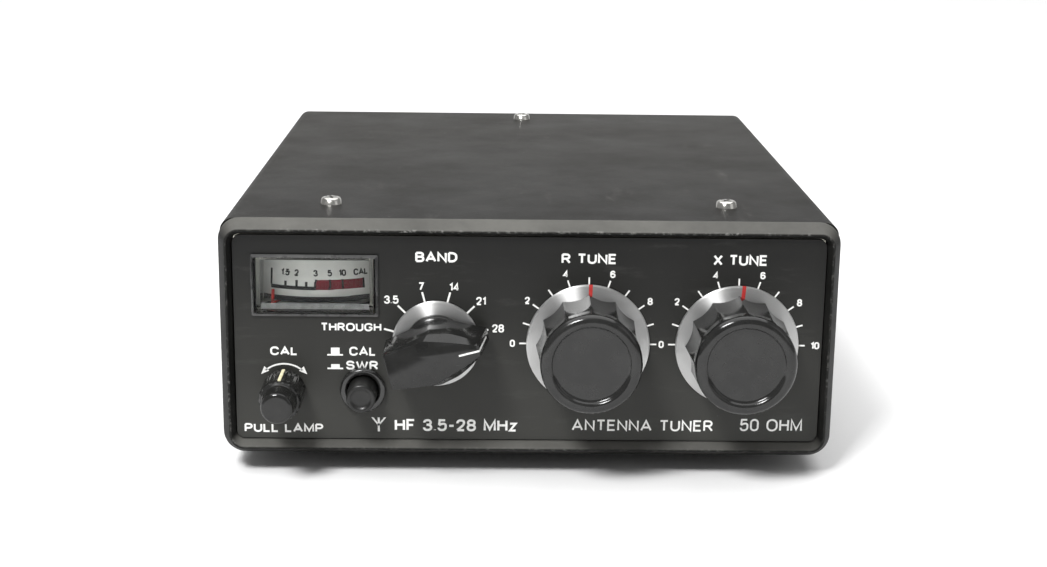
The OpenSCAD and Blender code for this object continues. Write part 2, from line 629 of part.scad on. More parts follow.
module cal_knob() translate(origin) color([0.1, 0.1, 0.1]) difference() {
    y_turned(cal_x, low_z, [[0, -15.4], [3.7, -15.4], [4.2, -14.9], [4.6, -9.4], [5.4, -9], [5.7, -8.4],
        [5.7, 1.9], [0, 1.9]]);
    for (i = [0:17]) translate([cal_x, 0, low_z]) rotate([0, i * 20 + 10, 0])
        y_rod(0, 6.1, 0.6, -14.6, 1, 24);
    y_rod(cal_x, low_z, 4.9, -0.6, 3);
    y_rod(cal_x, low_z, 2, -10, 3, 40);
}

module cal_shaft() translate(origin) color([0.7, 0.7, 0.7]) y_rod(cal_x, low_z, 2, -9.9, 24.5, 40);

module cal_control_body() translate(origin) color([0.6, 0.55, 0.4]) difference() {
    union() {
        panel_bush(cal_x, low_z, 3, 2.05, 4.6, sub_back);
        y_rod(cal_x, low_z, 8.2, sub_back, 16);
        for (i = [-1:1]) translate([cal_x + i * 4, 0, low_z]) box([-0.8, 12, -12.5], [0.8, 12.5, -7]);
    }
    y_rod(cal_x, low_z, 7.2, 7, 15);
    y_rod(cal_x, low_z, 2.05, 0, 20, 40);
}

module cal_wiper() translate(origin) color([0.75, 0.6, 0.35]) difference() {
    union() {
        y_rod(cal_x, low_z, 3.4, 8, 14);
        translate([cal_x, 0, low_z]) box([-1.1, 10, 0], [1.1, 11, 6.6]);
    }
    y_rod(cal_x, low_z, 2.05, 5, 17, 40);
}

module lamp_switch_body() translate(origin) color([0.25, 0.25, 0.25]) difference() {
    union() {
        translate([cal_x, 0, low_z]) box([-6.5, 16, -6.5], [6.5, 31, 6.5]);
        for (i = [-1, 1]) translate([cal_x + i * 3, 0, low_z]) box([-0.6, 31, -1.2], [0.6, 35, 1.2]);
    }
    translate([cal_x, 0, low_z]) box([-5, 17.5, -5], [5, 29.5, 5]);
    y_rod(cal_x, low_z, 2.3, 15, 18, 40);
}

module lamp_switch_slider() translate(origin) color([0.85, 0.8, 0.6]) difference() {
    translate([cal_x, 0, low_z]) box([-4.6, 22, -4.6], [4.6, 27, 4.6]);
    y_rod(cal_x, low_z, 2.05, 21, 24.8, 40);
}

// ---------- push button ----------

module swr_button() translate(origin) color([0.12, 0.12, 0.12]) {
    difference() {
        y_rod(button_x, low_z, 3.9, -6.5, 6.6);
        y_turned(button_x, low_z, [[0, -8], [2.9, -8], [2.4, -6], [0, -5.9]]);
    }
    translate([button_x, 0, low_z]) box([-1.6, 6.6, -1.6], [1.6, 24, 1.6]);
}

module swr_button_guide() translate(origin) color([0.06, 0.06, 0.06])
    y_turned(button_x, low_z, [[4.2, 0.9], [4.6, 0.5], [5.7, 0.5], [6.1, 0.9], [6.1, 2.5], [5, 2.5], [5, 7],
        [4.2, 7]]);

module swr_switch_body() translate(origin) color([0.3, 0.28, 0.25]) difference() {
    union() {
        translate([button_x, 0, low_z]) box([-5, 13.5, -6], [5, 36, 6]);
        for (s = [-1, 1]) translate([button_x + s * 6.5, 0, low_z]) box([-1.5, 13.5, -6], [1.5, 15, 6]);
        for (s = [-1, 1]) translate([button_x + s * 7.4, 0, low_z]) box([-0.6, sub_back, -2], [0.6, 15, 2]);
        for (s = [-1, 1], i = [0:5]) translate([button_x + s * 3, 17 + i * 3.2, low_z - 9])
            cylinder(r = 0.4, h = 4, $fn = 24);
    }
    translate([button_x, 0, low_z]) box([-1.8, 13, -1.8], [1.8, 30, 1.8]);
}

module swr_button_spring() translate(origin) color([0.75, 0.75, 0.75])
    translate([button_x, 7, low_z]) rotate([0, 0, 90])
        helix_x(2.9, 0.3, 0, 1.5, 4, 20, 6);

// ---------- circuit ----------

// The bridge board with its pillars, current transformer and small parts
module swr_board() translate(origin) color([0.25, 0.42, 0.25]) {
    box([-75, 148, 10], [-22, 184, 11.6]);
    for (x = [-72, -25], y = [151, 181]) translate([x, y, base_top])
        cylinder(r = 2.2, h = 10 - base_top, $fn = 32);
    difference() {
        box([-49, toroid_y - 3, 11.6], [-41, toroid_y + 3, 26]);
        y_rod(-socket_x, socket_z, 10.01, toroid_y - 4, toroid_y + 4);
    }
    difference() {
        y_rod(-socket_x, socket_z, 10, toroid_y - 3, toroid_y + 3);
        y_rod(-socket_x, socket_z, 5.6, toroid_y - 4, toroid_y + 4);
    }
    for (i = [0:4]) translate([-70 + i * 6, 156, 11.6]) cylinder(r = 2, h = 3.4, $fn = 32);
    for (i = [0:3]) translate([-34 + i * 3, 152, 11.6]) box([0, 0, 0], [1.8, 7, 2]);
    translate([-66, 174, 11.6]) cylinder(r = 3.4, h = 5, $fn = 40);
    translate([-30, 174, 11.6]) cylinder(r = 3.4, h = 5, $fn = 40);
}

// A plain tube on two end plates that stand on the chassis base
module coil_former() translate(origin) color([0.85, 0.82, 0.7]) {
    translate([0, coil_y, coil_z]) rotate([0, 90, 0]) difference() {
        cylinder(r = former_r, h = 2 * coil_half, center = true, $fn = 96);
        cylinder(r = former_r - 2, h = 2 * coil_half + 2, center = true, $fn = 96);
    }
    for (s = [-1, 1]) translate([s * (coil_half + 1.5), coil_y, 0]) difference() {
        box([-1.5, -20, base_top], [1.5, 20, coil_z + 20]);
        translate([0, 0, coil_z]) rotate([0, 90, 0])
            cylinder(r = former_r - 4, h = 10, center = true, $fn = 64);
    }
}

module coil_winding() translate(origin) color([0.8, 0.5, 0.3]) translate([0, coil_y, coil_z])
    helix_x(former_r + 0.95, 0.8, -coil_half + 3, (2 * coil_half - 6) / coil_turns, coil_turns, 28, 6);

// ---------- rear ----------

// The sockets' threaded shells with their square flanges
module coaxial_sockets() translate(origin) color([0.8, 0.8, 0.78]) difference() {
    for (x = [-socket_x, socket_x]) {
        box([x - 12.7, rear_y, socket_z - 12.7], [x + 12.7, rear_y + 1.6, socket_z + 12.7]);
        y_rod(x, socket_z, socket_r, rear_y + 1.5, rear_y + socket_out, 96);
        y_rod(x, socket_z, 6.4, rear_y - 6, rear_y + 0.1);
    }
    for (x = [-socket_x, socket_x]) {
        y_rod(x, socket_z, 5.9, rear_y - 7, rear_y + socket_out + 1);
        for (a = [0:3]) translate([x, rear_y + socket_out, socket_z]) rotate([0, a * 90 + 45, 0])
            box([5, -1.2, -0.8], [9, 1, 0.8]);
    }
    socket_screw_holes(rear_y - 1, rear_y + 3);
}

module socket_insulators() translate(origin) color([0.93, 0.9, 0.82])
    for (x = [-socket_x, socket_x]) difference() {
        y_rod(x, socket_z, 5.88, rear_y - 7, rear_y + 5);
        y_rod(x, socket_z, 2.72, rear_y - 8, rear_y + 6);
    }

module socket_contacts() translate(origin) color([0.85, 0.7, 0.35])
    for (x = [-socket_x, socket_x]) difference() {
        y_rod(x, socket_z, 2.7, rear_y - 14, rear_y + socket_out - 2);
        y_rod(x, socket_z, 2, rear_y + socket_out - 12, rear_y + socket_out);
    }

// The earth stud, its seat under the inside and outside lock nuts and its free end
module ground_stud() translate(origin) color([0.82, 0.7, 0.4]) {
    y_rod(0, ground_z, stud_seat_r, rear_y - 5, stud_end - 1, 40);
    y_turned(0, ground_z, [[0, stud_free_y], [stud_r, stud_free_y], [stud_r, stud_end - 0.5],
        [stud_r - 0.5, stud_end], [0, stud_end]], 40);
    for (y = [[rear_y - chassis_t - 2.4, rear_y - chassis_t], [rear_y, lock_nut_end]]) difference() {
        translate([0, y[0], ground_z]) rotate([-90, 0, 0]) cylinder(r = 4.04, h = y[1] - y[0], $fn = 6);
        y_rod(0, ground_z, stud_seat_r - 0.01, y[0] - 1, y[1] + 1, 40);
    }
}

module ground_washer() translate(origin) color([0.8, 0.8, 0.78])
    difference() {
        y_rod(0, ground_z, 5, lock_nut_end + 0.1, lock_nut_end + 0.9);
        y_rod(0, ground_z, stud_r + 0.1, rear_y, stud_end, 40);
    }

module ground_nut() translate(origin) color([0.82, 0.7, 0.4]) difference() {
    union() {
        y_turned(0, ground_z, [[0, lock_nut_end + 1], [4, lock_nut_end + 1], [3.3, lock_nut_end + 5],
            [0, lock_nut_end + 5]], 64);
        for (s = [-1, 1]) translate([0, lock_nut_end + 4.1, ground_z]) rotate([0, 20, 0]) hull() {
            translate([s * 7.4, 0, 0]) rotate([0, 90, 90])
                cylinder(r = 1.5, h = 1.6, center = true, $fn = 32);
            translate([s * 2.6, -1.6, 0]) rotate([0, 90, 90])
                cylinder(r = 1.8, h = 1.6, center = true, $fn = 32);
        }
    }
    y_rod(0, ground_z, stud_r + 0.1, rear_y - 1, stud_end + 2, 40);
}

// Two-pole socket for the lamp supply
module lamp_jack() translate(origin) color([0.15, 0.15, 0.15]) difference() {
    union() {
        y_rod(0, jack_z, 4, rear_y - 1.2, rear_y + 3.2);
        y_rod(0, jack_z, 6, rear_y - 12, rear_y - 1.2);
        translate([0, rear_y, jack_z]) rotate([-90, 0, 0]) cylinder(r = 5.8, h = 2, $fn = 6);
        for (s = [-1, 1]) translate([s * 3, 0, jack_z])
            box([-0.8, rear_y - 17, -0.3], [0.8, rear_y - 12, 0.3]);
    }
    y_rod(0, jack_z, jack_bore, rear_y + 3.2 - jack_depth, rear_y + 5, 40);
}

// ---------- wiring ----------

// A vector's direction
function unit(v) = v / norm(v);

// The direction of a wire at point i: its first or last run, or the mean of the two that meet
function heading(points, i) =
    i == 0 ? unit(points[1] - points[0]) :
    i == len(points) - 1 ? unit(points[i] - points[i - 1]) :
    unit(unit(points[i + 1] - points[i]) + unit(points[i] - points[i - 1]));

// A stiff eight-sided wire through a list of points
module wire(points, r) {
    sides = 8;
    skew = [1, 1, -1];
    rings = [for (i = [0:len(points) - 1], k = [0:sides - 1])
        let (t = heading(points, i), n = unit(cross(t, skew)), b = cross(t, n), a = k * 360 / sides)
        points[i] + r * (cos(a) * n + sin(a) * b)];
    walls = [for (i = [0:len(points) - 2], k = [0:sides - 1])
        [i * sides + (k + 1) % sides, i * sides + k,
         (i + 1) * sides + k, (i + 1) * sides + (k + 1) % sides]];
    last = (len(points) - 1) * sides;
    ends = [[for (k = [0:sides - 1]) k], [for (k = [0:sides - 1]) last + sides - 1 - k]];
    polyhedron(rings, concat(walls, ends));
}

module bus_wires() translate(origin) color([0.85, 0.8, 0.72]) for (run = wire_runs) wire(run, 0.6);

front_bezel();
front_panel();
sub_panel();
chassis_base();
rear_panel();
top_cover();
bottom_cover();
cover_screws();
chassis_screws();
rubber_feet();
meter_window();
meter_case();
meter_scale();
meter_yoke();
meter_needle();
meter_coil();
meter_lamp();
band_knob();
band_skirt();
band_shaft();
band_wafer_rotors();
band_index_housing();
band_wafers();
band_rods();
control_bushes();
r_tune_knob();
r_tune_skirt();
r_tune_shaft();
r_tune_rotor();
r_tune_frame();
r_tune_stator();
x_tune_knob();
x_tune_skirt();
x_tune_shaft();
x_tune_coupler();
x_tune_rotor();
x_tune_frame();
x_tune_stator();
capacitor_pillars();
cal_knob();
cal_shaft();
cal_control_body();
cal_wiper();
lamp_switch_body();
lamp_switch_slider();
swr_button();
swr_button_guide();
swr_switch_body();
swr_button_spring();
swr_board();
coil_former();
coil_winding();
bus_wires();
coaxial_sockets();
socket_insulators();
socket_contacts();
ground_stud();
ground_washer();
ground_nut();
lamp_jack();
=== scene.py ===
import json
import math

import bmesh
import bpy
from mathutils import Matrix, Vector


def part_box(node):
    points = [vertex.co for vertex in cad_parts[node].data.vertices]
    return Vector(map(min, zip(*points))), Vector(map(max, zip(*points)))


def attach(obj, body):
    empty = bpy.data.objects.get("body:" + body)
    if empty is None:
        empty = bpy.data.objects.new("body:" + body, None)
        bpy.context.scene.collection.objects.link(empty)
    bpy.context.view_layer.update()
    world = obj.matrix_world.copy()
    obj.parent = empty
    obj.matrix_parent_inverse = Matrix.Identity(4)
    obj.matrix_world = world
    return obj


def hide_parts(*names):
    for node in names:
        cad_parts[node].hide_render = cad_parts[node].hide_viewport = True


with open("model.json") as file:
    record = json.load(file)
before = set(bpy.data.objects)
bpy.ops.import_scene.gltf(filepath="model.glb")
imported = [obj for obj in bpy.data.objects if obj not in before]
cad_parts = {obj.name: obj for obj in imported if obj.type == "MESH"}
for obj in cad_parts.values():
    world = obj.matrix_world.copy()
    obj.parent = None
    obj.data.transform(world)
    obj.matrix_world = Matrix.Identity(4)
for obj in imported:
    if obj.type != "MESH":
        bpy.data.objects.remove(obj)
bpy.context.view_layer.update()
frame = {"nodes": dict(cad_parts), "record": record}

# Looks for the antenna tuner. Shapes here are drawn in millimetres in the cabinet's own terms: x from
# the centre, y back from the bezel's front ridge and z up from the bezel's bottom edge. place() turns
# such a mesh into the row frame's metres.

MM = 0.001
BEZEL_LO, BEZEL_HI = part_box("front_bezel")
RIDGE_Y = BEZEL_LO.y
BOTTOM_Z = BEZEL_LO.z
TO_ROW = Matrix.Translation((0, RIDGE_Y, BOTTOM_Z)) @ Matrix.Scale(MM, 4)
CASE_W = (BEZEL_HI.x - BEZEL_LO.x) / MM
CASE_H = (BEZEL_HI.z - BEZEL_LO.z) / MM


def local(point):
    """A point of the row frame, in the cabinet's millimetres."""
    return Vector((point.x / MM, (point.y - RIDGE_Y) / MM, (point.z - BOTTOM_Z) / MM))


def centre(node):
    """The centre of a CAD node's box, in the cabinet's millimetres."""
    low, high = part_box(node)
    return local((low + high) / 2)


PANEL_Y = local(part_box("front_panel")[0]).y
R_AXIS = centre("r_tune_skirt")
X_AXIS = centre("x_tune_skirt")
BAND_AXIS = centre("band_skirt")
CAL_AXIS = centre("cal_knob")
BUTTON_AXIS = centre("swr_button")
METER = centre("meter_window")
SKIRT_R = (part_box("r_tune_skirt")[1].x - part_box("r_tune_skirt")[0].x) / 2 / MM
KNOB_FRONT = local(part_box("r_tune_knob")[0]).y
R_TURN = 1.5
X_TURN = 4.5
BAND_TILT = 15
BAND_FRONT = local(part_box("band_knob")[0]).y


# ---------- finishes ----------

class Finish:
    """A procedural finish: one Principled shader and short calls for the textures that feed it."""

    def __init__(self, name, **constants):
        self.material = bpy.data.materials.new(name)
        self.material.use_nodes = True
        self.tree = self.material.node_tree
        self.shader = self.tree.nodes["Principled BSDF"]
        for socket, value in constants.items():
            self.shader.inputs[socket.replace("_", " ")].default_value = value
        self.coords = self.tree.nodes.new("ShaderNodeTexCoord").outputs["Object"]

    def node(self, kind, inputs, **settings):
        made = self.tree.nodes.new(kind)
        for key, value in settings.items():
            setattr(made, key, value)
        for key, value in inputs.items():
            if isinstance(value, bpy.types.NodeSocket):
                self.tree.links.new(value, made.inputs[key])
            else:
                made.inputs[key].default_value = value
        return made

    def noise(self, size_mm, detail=3.0, roughness=0.55, stretch=(1, 1, 1)):
        """Noise from 0 to 1 whose blobs are about size_mm across, longer where stretch is under 1."""
        moved = self.node("ShaderNodeMapping", {"Vector": self.coords, "Scale": stretch}).outputs[0]
        return self.node("ShaderNodeTexNoise", {"Vector": moved, "Scale": 1 / (size_mm * MM),
                         "Detail": detail, "Roughness": roughness}).outputs["Fac"]

    def cells(self, size_mm):
        """The distance to the nearest of points about size_mm apart."""
        return self.node("ShaderNodeTexVoronoi", {"Vector": self.coords, "Scale": 1 / (size_mm * MM)}
                         ).outputs["Distance"]

    def span(self, value, low, high, to_low=0.0, to_high=1.0):
        """Value from low to high, stretched to to_low to to_high and held at the ends."""
        return self.node("ShaderNodeMapRange", {"Value": value, "From Min": low, "From Max": high,
                         "To Min": to_low, "To Max": to_high}, clamp=True).outputs[0]

    def maths(self, operation, a, b=0.0):
        return self.node("ShaderNodeMath", {0: a, 1: b}, operation=operation).outputs[0]

    def times(self, a, b):
        return self.maths("MULTIPLY", a, b)

    def mix(self, factor, a, b):
        """Colour a where factor is 0 and b where it is 1. The sockets go by number, as names repeat."""
        made = self.tree.nodes.new("ShaderNodeMix")
        made.data_type = "RGBA"
        for index, value in ((0, factor), (6, a), (7, b)):
            if isinstance(value, bpy.types.NodeSocket):
                self.tree.links.new(value, made.inputs[index])
            else:
                made.inputs[index].default_value = value if index == 0 else (*value, 1.0)
        return made.outputs[2]

    def blend(self, value, a, b):
        """A mix of two close colours over the middle of a noise."""
        return self.mix(self.span(value, 0.3, 0.7), a, b)

    def axis(self, name):
        """Distance in metres along an axis from the cabinet's own zero."""
        start = {"X": 0.0, "Y": RIDGE_Y, "Z": BOTTOM_Z}[name]
        value = self.node("ShaderNodeSeparateXYZ", {"Vector": self.coords}).outputs[name]
        return self.maths("SUBTRACT", value, start)

    def feed(self, socket, value):
        self.tree.links.new(value, self.shader.inputs[socket])

    def rough(self, value, low, high):
        """Roughness from low to high over the middle of a noise."""
        self.feed("Roughness", self.span(value, 0.3, 0.7, low, high))

    def bump(self, *layers):
        """Bumps laid over each other, each of height, depth in mm and strength."""
        normal = None
        for height, depth_mm, strength in layers:
            inputs = {"Height": height, "Distance": depth_mm * MM, "Strength": strength}
            if normal is not None:
                inputs["Normal"] = normal
            normal = self.node("ShaderNodeBump", inputs).outputs[0]
        self.feed("Normal", normal)


def mottled(name, dark, light, rough, size_mm, bump_mm, metallic=0.0, stretch=(1, 1, 1), dirt_and_shade=0.35,
            fine_mm=0.25, **constants):
    """The common finish: two close colours in blotches, grime, uneven gloss and a fine grain."""
    finish = Finish(name, Metallic=metallic, **constants)
    blotch = finish.noise(size_mm, 4.0, 0.6, stretch)
    grain = finish.noise(fine_mm, 2.0, 0.5, stretch)
    dirt = finish.span(finish.noise(size_mm * 2.3, 5.0, 0.65), 0.52, 0.75, 0.0, dirt_and_shade)
    colour = finish.mix(finish.span(blotch, 0.35, 0.65), dark, light)
    colour = finish.mix(dirt, colour, [channel * 0.55 for channel in dark])
    finish.feed("Base Color", colour)
    finish.rough(finish.noise(size_mm * 0.7, 3.0), rough - 0.06, rough + 0.08)
    finish.bump((grain, bump_mm, 0.6), (blotch, bump_mm * 2, 0.25))
    return finish.material


def cabinet_paint():
    """Wrinkle paint in a warm dark grey, with scuffs and a few pale specks, and painted shade that darkens it
    towards the bezel.
    """
    finish = Finish("cabinet_paint", Specular_IOR_Level=0.13)
    wrinkle = finish.noise(0.55, 4.0, 0.62)
    crumbs = finish.cells(0.9)
    blotch = finish.noise(26, 4.0, 0.6)
    scuff = finish.span(finish.noise(9, 6.0, 0.7, (1, 0.25, 1)), 0.6, 0.72)
    specks = finish.span(finish.cells(11), 0.0, 0.035, 1.0, 0.0)
    # Painted shade: the paint is darkened over the front 15 cm, towards the bezel.
    front_shade = finish.span(finish.axis("Y"), 0.0, 0.15, 1.0, 0.0)
    colour = finish.blend(blotch, (0.011, 0.0099, 0.0082), (0.0165, 0.015, 0.0125))
    colour = finish.mix(finish.times(front_shade, 0.85), colour, (0.005, 0.0048, 0.0042))
    colour = finish.mix(finish.span(wrinkle, 0.5, 0.72, 0.0, 0.3), colour, (0.034, 0.032, 0.028))
    colour = finish.mix(finish.times(scuff, 0.25), colour, (0.11, 0.106, 0.098))
    colour = finish.mix(finish.times(specks, 0.55), colour, (0.32, 0.31, 0.29))
    finish.feed("Base Color", colour)
    finish.rough(blotch, 0.44, 0.56)
    finish.bump((wrinkle, 0.1, 0.8), (crumbs, 0.05, 0.35))
    return finish.material


def bezel_plastic():
    """Black satin moulding: painted paler where it faces up, a painted top light blotched like dust, and
    rubbed grey and chipped along its front ridge, most at the top, where the grey is partly a painted
    highlight.
    """
    finish = Finish("bezel_plastic", Specular_IOR_Level=0.12)
    grain = finish.noise(0.22, 3.0, 0.6)
    blotch = finish.noise(14, 4.0, 0.6)
    ridge = finish.span(finish.axis("Y"), 0.0, 0.0005, 1.0, 0.0)
    chips = finish.span(finish.noise(1.3, 5.0, 0.75), 0.52, 0.62)
    rubbed = finish.span(finish.noise(22, 3.0, 0.5), 0.35, 0.65, 0.1, 0.7)
    # Partly painted highlight: the rubbed grey on the front ridge is weighted to the top edge, where the
    # ridge catches the light; the rest of it is edge wear.
    top = finish.span(finish.axis("Z"), 0.058, 0.064, 0.3, 1.0)
    ridge_wear_and_highlight = finish.times(finish.times(ridge, top), finish.times(chips, rubbed))
    # Painted top light: faces turned up are painted paler, in blotches like dust.
    facing = finish.tree.nodes.new("ShaderNodeTexCoord").outputs["Normal"]
    upward = finish.node("ShaderNodeSeparateXYZ", {"Vector": facing}).outputs["Z"]
    dust_and_top_light = finish.times(finish.span(upward, 0.25, 0.8), finish.span(blotch, 0.3, 0.7, 0.55, 0.9))
    colour = finish.blend(blotch, (0.008, 0.008, 0.0075), (0.014, 0.014, 0.013))
    colour = finish.mix(dust_and_top_light, colour, (0.118, 0.116, 0.107))
    colour = finish.mix(ridge_wear_and_highlight, colour, (0.42, 0.42, 0.4))
    finish.feed("Base Color", colour)
    finish.rough(blotch, 0.48, 0.6)
    finish.bump((grain, 0.03, 0.7), (chips, 0.03, 0.2))
    return finish.material


def panel_paint():
    """Satin dark paint on the sunk panel, faintly mottled, and painted paler lower down as a painted
    reflection of the pale floor.
    """
    finish = Finish("panel_paint", Specular_IOR_Level=0.24)
    grain = finish.noise(0.18, 2.0, 0.5)
    blotch = finish.noise(18, 5.0, 0.62)
    rub = finish.span(finish.noise(5, 6.0, 0.7, (0.2, 1, 1)), 0.58, 0.72)
    specks = finish.span(finish.cells(7), 0.0, 0.022, 1.0, 0.0)
    # Painted reflection: the paint grows paler towards the bottom of the panel, for the pale floor that it
    # reflects there.
    floor_reflection = finish.span(finish.axis("Z"), 0.006, 0.056, 1.0, 0.0)
    colour = finish.blend(blotch, (0.005, 0.005, 0.0046), (0.009, 0.009, 0.0082))
    colour = finish.mix(finish.times(floor_reflection, 0.75), colour, (0.046, 0.046, 0.0415))
    colour = finish.mix(finish.times(rub, 0.2), colour, (0.075, 0.075, 0.07))
    colour = finish.mix(finish.times(specks, 0.4), colour, (0.25, 0.25, 0.24))
    finish.feed("Base Color", colour)
    finish.rough(blotch, 0.4, 0.52)
    finish.bump((grain, 0.015, 0.7), (blotch, 0.03, 0.15))
    return finish.material


def legend_ink():
    """Off-white screen printing, a little thin in places."""
    finish = Finish("legend_ink", Specular_IOR_Level=0.4)
    thin = finish.noise(0.7, 4.0, 0.6)
    colour = finish.mix(finish.span(thin, 0.35, 0.6), (0.72, 0.72, 0.7), (0.86, 0.86, 0.84))
    finish.feed("Base Color", colour)
    finish.rough(thin, 0.42, 0.6)
    finish.bump((finish.noise(0.12, 2.0), 0.01, 0.5))
    return finish.material


def knob_plastic(name, rough, coat, level=0.5):
    """Black moulded knob: glossy, with dust, hairline scratches and a slight orange-peel surface."""
    finish = Finish(name, Specular_IOR_Level=level, Coat_Weight=coat, Coat_Roughness=0.06)
    peel = finish.noise(1.6, 2.0, 0.5)
    hairs = finish.span(finish.noise(0.5, 5.0, 0.75, (0.15, 1, 1)), 0.6, 0.7)
    dust_and_top_light = finish.span(finish.cells(2.1), 0.0, 0.05, 1.0, 0.0)
    blotch = finish.noise(6, 4.0, 0.6)
    colour = finish.blend(blotch, (0.008, 0.008, 0.0077), (0.016, 0.016, 0.0154))
    colour = finish.mix(finish.times(dust_and_top_light, 0.3), colour, (0.22, 0.22, 0.21))
    finish.feed("Base Color", colour)
    finish.feed("Roughness", finish.maths("ADD", finish.span(blotch, 0.3, 0.7, rough - 0.04, rough + 0.06),
                                          finish.times(hairs, 0.15)))
    finish.bump((peel, 0.03, 0.25), (hairs, 0.01, 0.2))
    return finish.material


def spun_aluminium(name, axis_point):
    """Bright aluminium turned on a lathe: fine rings round the knob's axis and a stretched highlight."""
    finish = Finish(name, Metallic=1.0, Anisotropic=0.95, Anisotropic_Rotation=0.25)
    across = finish.maths("SUBTRACT", finish.axis("X"), axis_point.x * MM)
    up = finish.maths("SUBTRACT", finish.axis("Z"), axis_point.z * MM)
    radius = finish.maths("SQRT", finish.maths("ADD", finish.times(across, across), finish.times(up, up)))
    rings = finish.node("ShaderNodeTexNoise", {"W": finish.times(radius, 2600.0), "Detail": 3.0},
                        noise_dimensions="1D").outputs["Fac"]
    blotch = finish.noise(5, 3.0)
    finish.feed("Base Color", finish.blend(rings, (0.54, 0.54, 0.535), (0.68, 0.68, 0.675)))
    finish.rough(blotch, 0.43, 0.5)
    finish.bump((rings, 0.006, 0.2))
    tangent = finish.node("ShaderNodeTangent", {}, direction_type="RADIAL", axis="Y").outputs[0]
    finish.feed("Tangent", tangent)
    return finish.material


def bright_metal(name, dark, light, rough):
    """Plated or turned metal with rubbed patches, fine scratches and dulled lows."""
    finish = Finish(name, Metallic=1.0)
    blotch = finish.noise(2.2, 4.0, 0.6)
    scratch = finish.noise(0.16, 4.0, 0.7, (1, 0.2, 1))
    stain = finish.span(finish.noise(1.1, 5.0, 0.7), 0.58, 0.72, 0.0, 0.55)
    colour = finish.blend(blotch, dark, light)
    colour = finish.mix(stain, colour, [channel * 0.45 for channel in dark])
    finish.feed("Base Color", colour)
    finish.feed("Roughness", finish.maths("ADD", finish.span(blotch, 0.3, 0.7, rough - 0.05, rough + 0.08),
                                          finish.times(stain, 0.35)))
    finish.bump((scratch, 0.008, 0.5), (blotch, 0.02, 0.15))
    return finish.material


def clear_acrylic():
    """The meter's clear moulding, lightly scratched and smudged."""
    finish = Finish("meter_clear", IOR=1.2, Transmission_Weight=1.0, Specular_IOR_Level=0.12)
    smudge = finish.noise(6, 4.0, 0.65)
    hairs = finish.span(finish.noise(0.4, 5.0, 0.75, (0.15, 1, 1)), 0.6, 0.72)
    finish.feed("Base Color", finish.blend(smudge, (0.93, 0.95, 0.94), (0.98, 0.985, 0.98)))
    finish.feed("Roughness", finish.maths("ADD", finish.span(smudge, 0.4, 0.75, 0.0, 0.012),
                                          finish.times(hairs, 0.01)))
    finish.bump((hairs, 0.002, 0.1))
    return finish.material


def scale_card():
    """The meter's printed card: off-white, with the faint yellowing of an old dial."""
    finish = Finish("scale_card", Specular_IOR_Level=0.3)
    age = finish.noise(5, 4.0, 0.6)
    finish.feed("Base Color", finish.blend(age, (0.56, 0.56, 0.53), (0.66, 0.66, 0.63)))
    finish.rough(age, 0.5, 0.65)
    finish.bump((finish.noise(0.1, 2.0), 0.008, 0.4))
    return finish.material


def printed(name, dark, light):
    """A dull printed or painted colour with slight unevenness."""
    return mottled(name, dark, light, 0.5, 1.5, 0.008, dirt_and_shade=0.1, fine_mm=0.1, Specular_IOR_Level=0.12)


def floor_paper():
    """Pale studio paper with a barely visible tooth."""
    finish = Finish("floor_paper", Specular_IOR_Level=0.2)
    tooth = finish.noise(1.2, 3.0)
    finish.feed("Base Color", finish.mix(tooth, (0.86, 0.86, 0.86), (0.89, 0.89, 0.89)))
    finish.rough(tooth, 0.75, 0.9)
    finish.bump((tooth, 0.02, 0.2))
    return finish.material


# ---------- meshes ----------

def mesh_from(bm, name):
    """A mesh made from bm, which is used up."""
    mesh = bpy.data.meshes.new(name)
    bm.to_mesh(mesh)
    bm.free()
    return mesh


def link(name, data):
    """A new object of the scene."""
    made = bpy.data.objects.new(name, data)
    bpy.context.scene.collection.objects.link(made)
    return made


def place(bm, name, material, body, stands_for=(), smooth=True):
    """Turns a mesh in the cabinet's millimetres into a piece that rides on a body."""
    bmesh.ops.recalc_face_normals(bm, faces=bm.faces)
    mesh = mesh_from(bm, name)
    mesh.transform(TO_ROW)
    mesh.materials.append(material)
    for polygon in mesh.polygons:
        polygon.use_smooth = smooth
    if smooth:
        mesh.set_sharp_from_angle(angle=math.radians(38))
    piece = link(name, mesh)
    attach(piece, body)
    if stands_for:
        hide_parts(*stands_for)


def fillet(points, radius, steps):
    """A polyline with its inner corners rounded, each by radius or by as much as its runs allow."""
    points = [Vector(point) for point in points]
    last = len(points) - 1
    rounded = [points[0]]
    for i in range(1, last):
        corner, back, on = points[i], points[i - 1] - points[i], points[i + 1] - points[i]
        reach = min(radius, back.length * (0.98 if i == 1 else 0.49),
                    on.length * (0.98 if i == last - 1 else 0.49))
        start, end = corner + back.normalized() * reach, corner + on.normalized() * reach
        for k in range(steps + 1):
            t = k / steps
            weights = ((1 - t) ** 2, math.sqrt(2) * t * (1 - t), t ** 2)
            rounded.append((start * weights[0] + corner * weights[1] + end * weights[2]) / sum(weights))
    rounded.append(points[last])
    return rounded


def lathe(profile, axis, steps, radius_at=None):
    """A surface turned about a Y axis from (radius, y) points; radius_at may flute it."""
    bm = bmesh.new()
    rings = []
    for radius, y in profile:
        if radius < 1e-4:
            rings.append([bm.verts.new((axis.x, y, axis.z))])
            continue
        ring = []
        for i in range(steps):
            a = 2 * math.pi * i / steps
            r = radius_at(radius, y, a) if radius_at else radius
            ring.append(bm.verts.new((axis.x + r * math.sin(a), y, axis.z + r * math.cos(a))))
        rings.append(ring)
    bridge(bm, rings)
    return bm


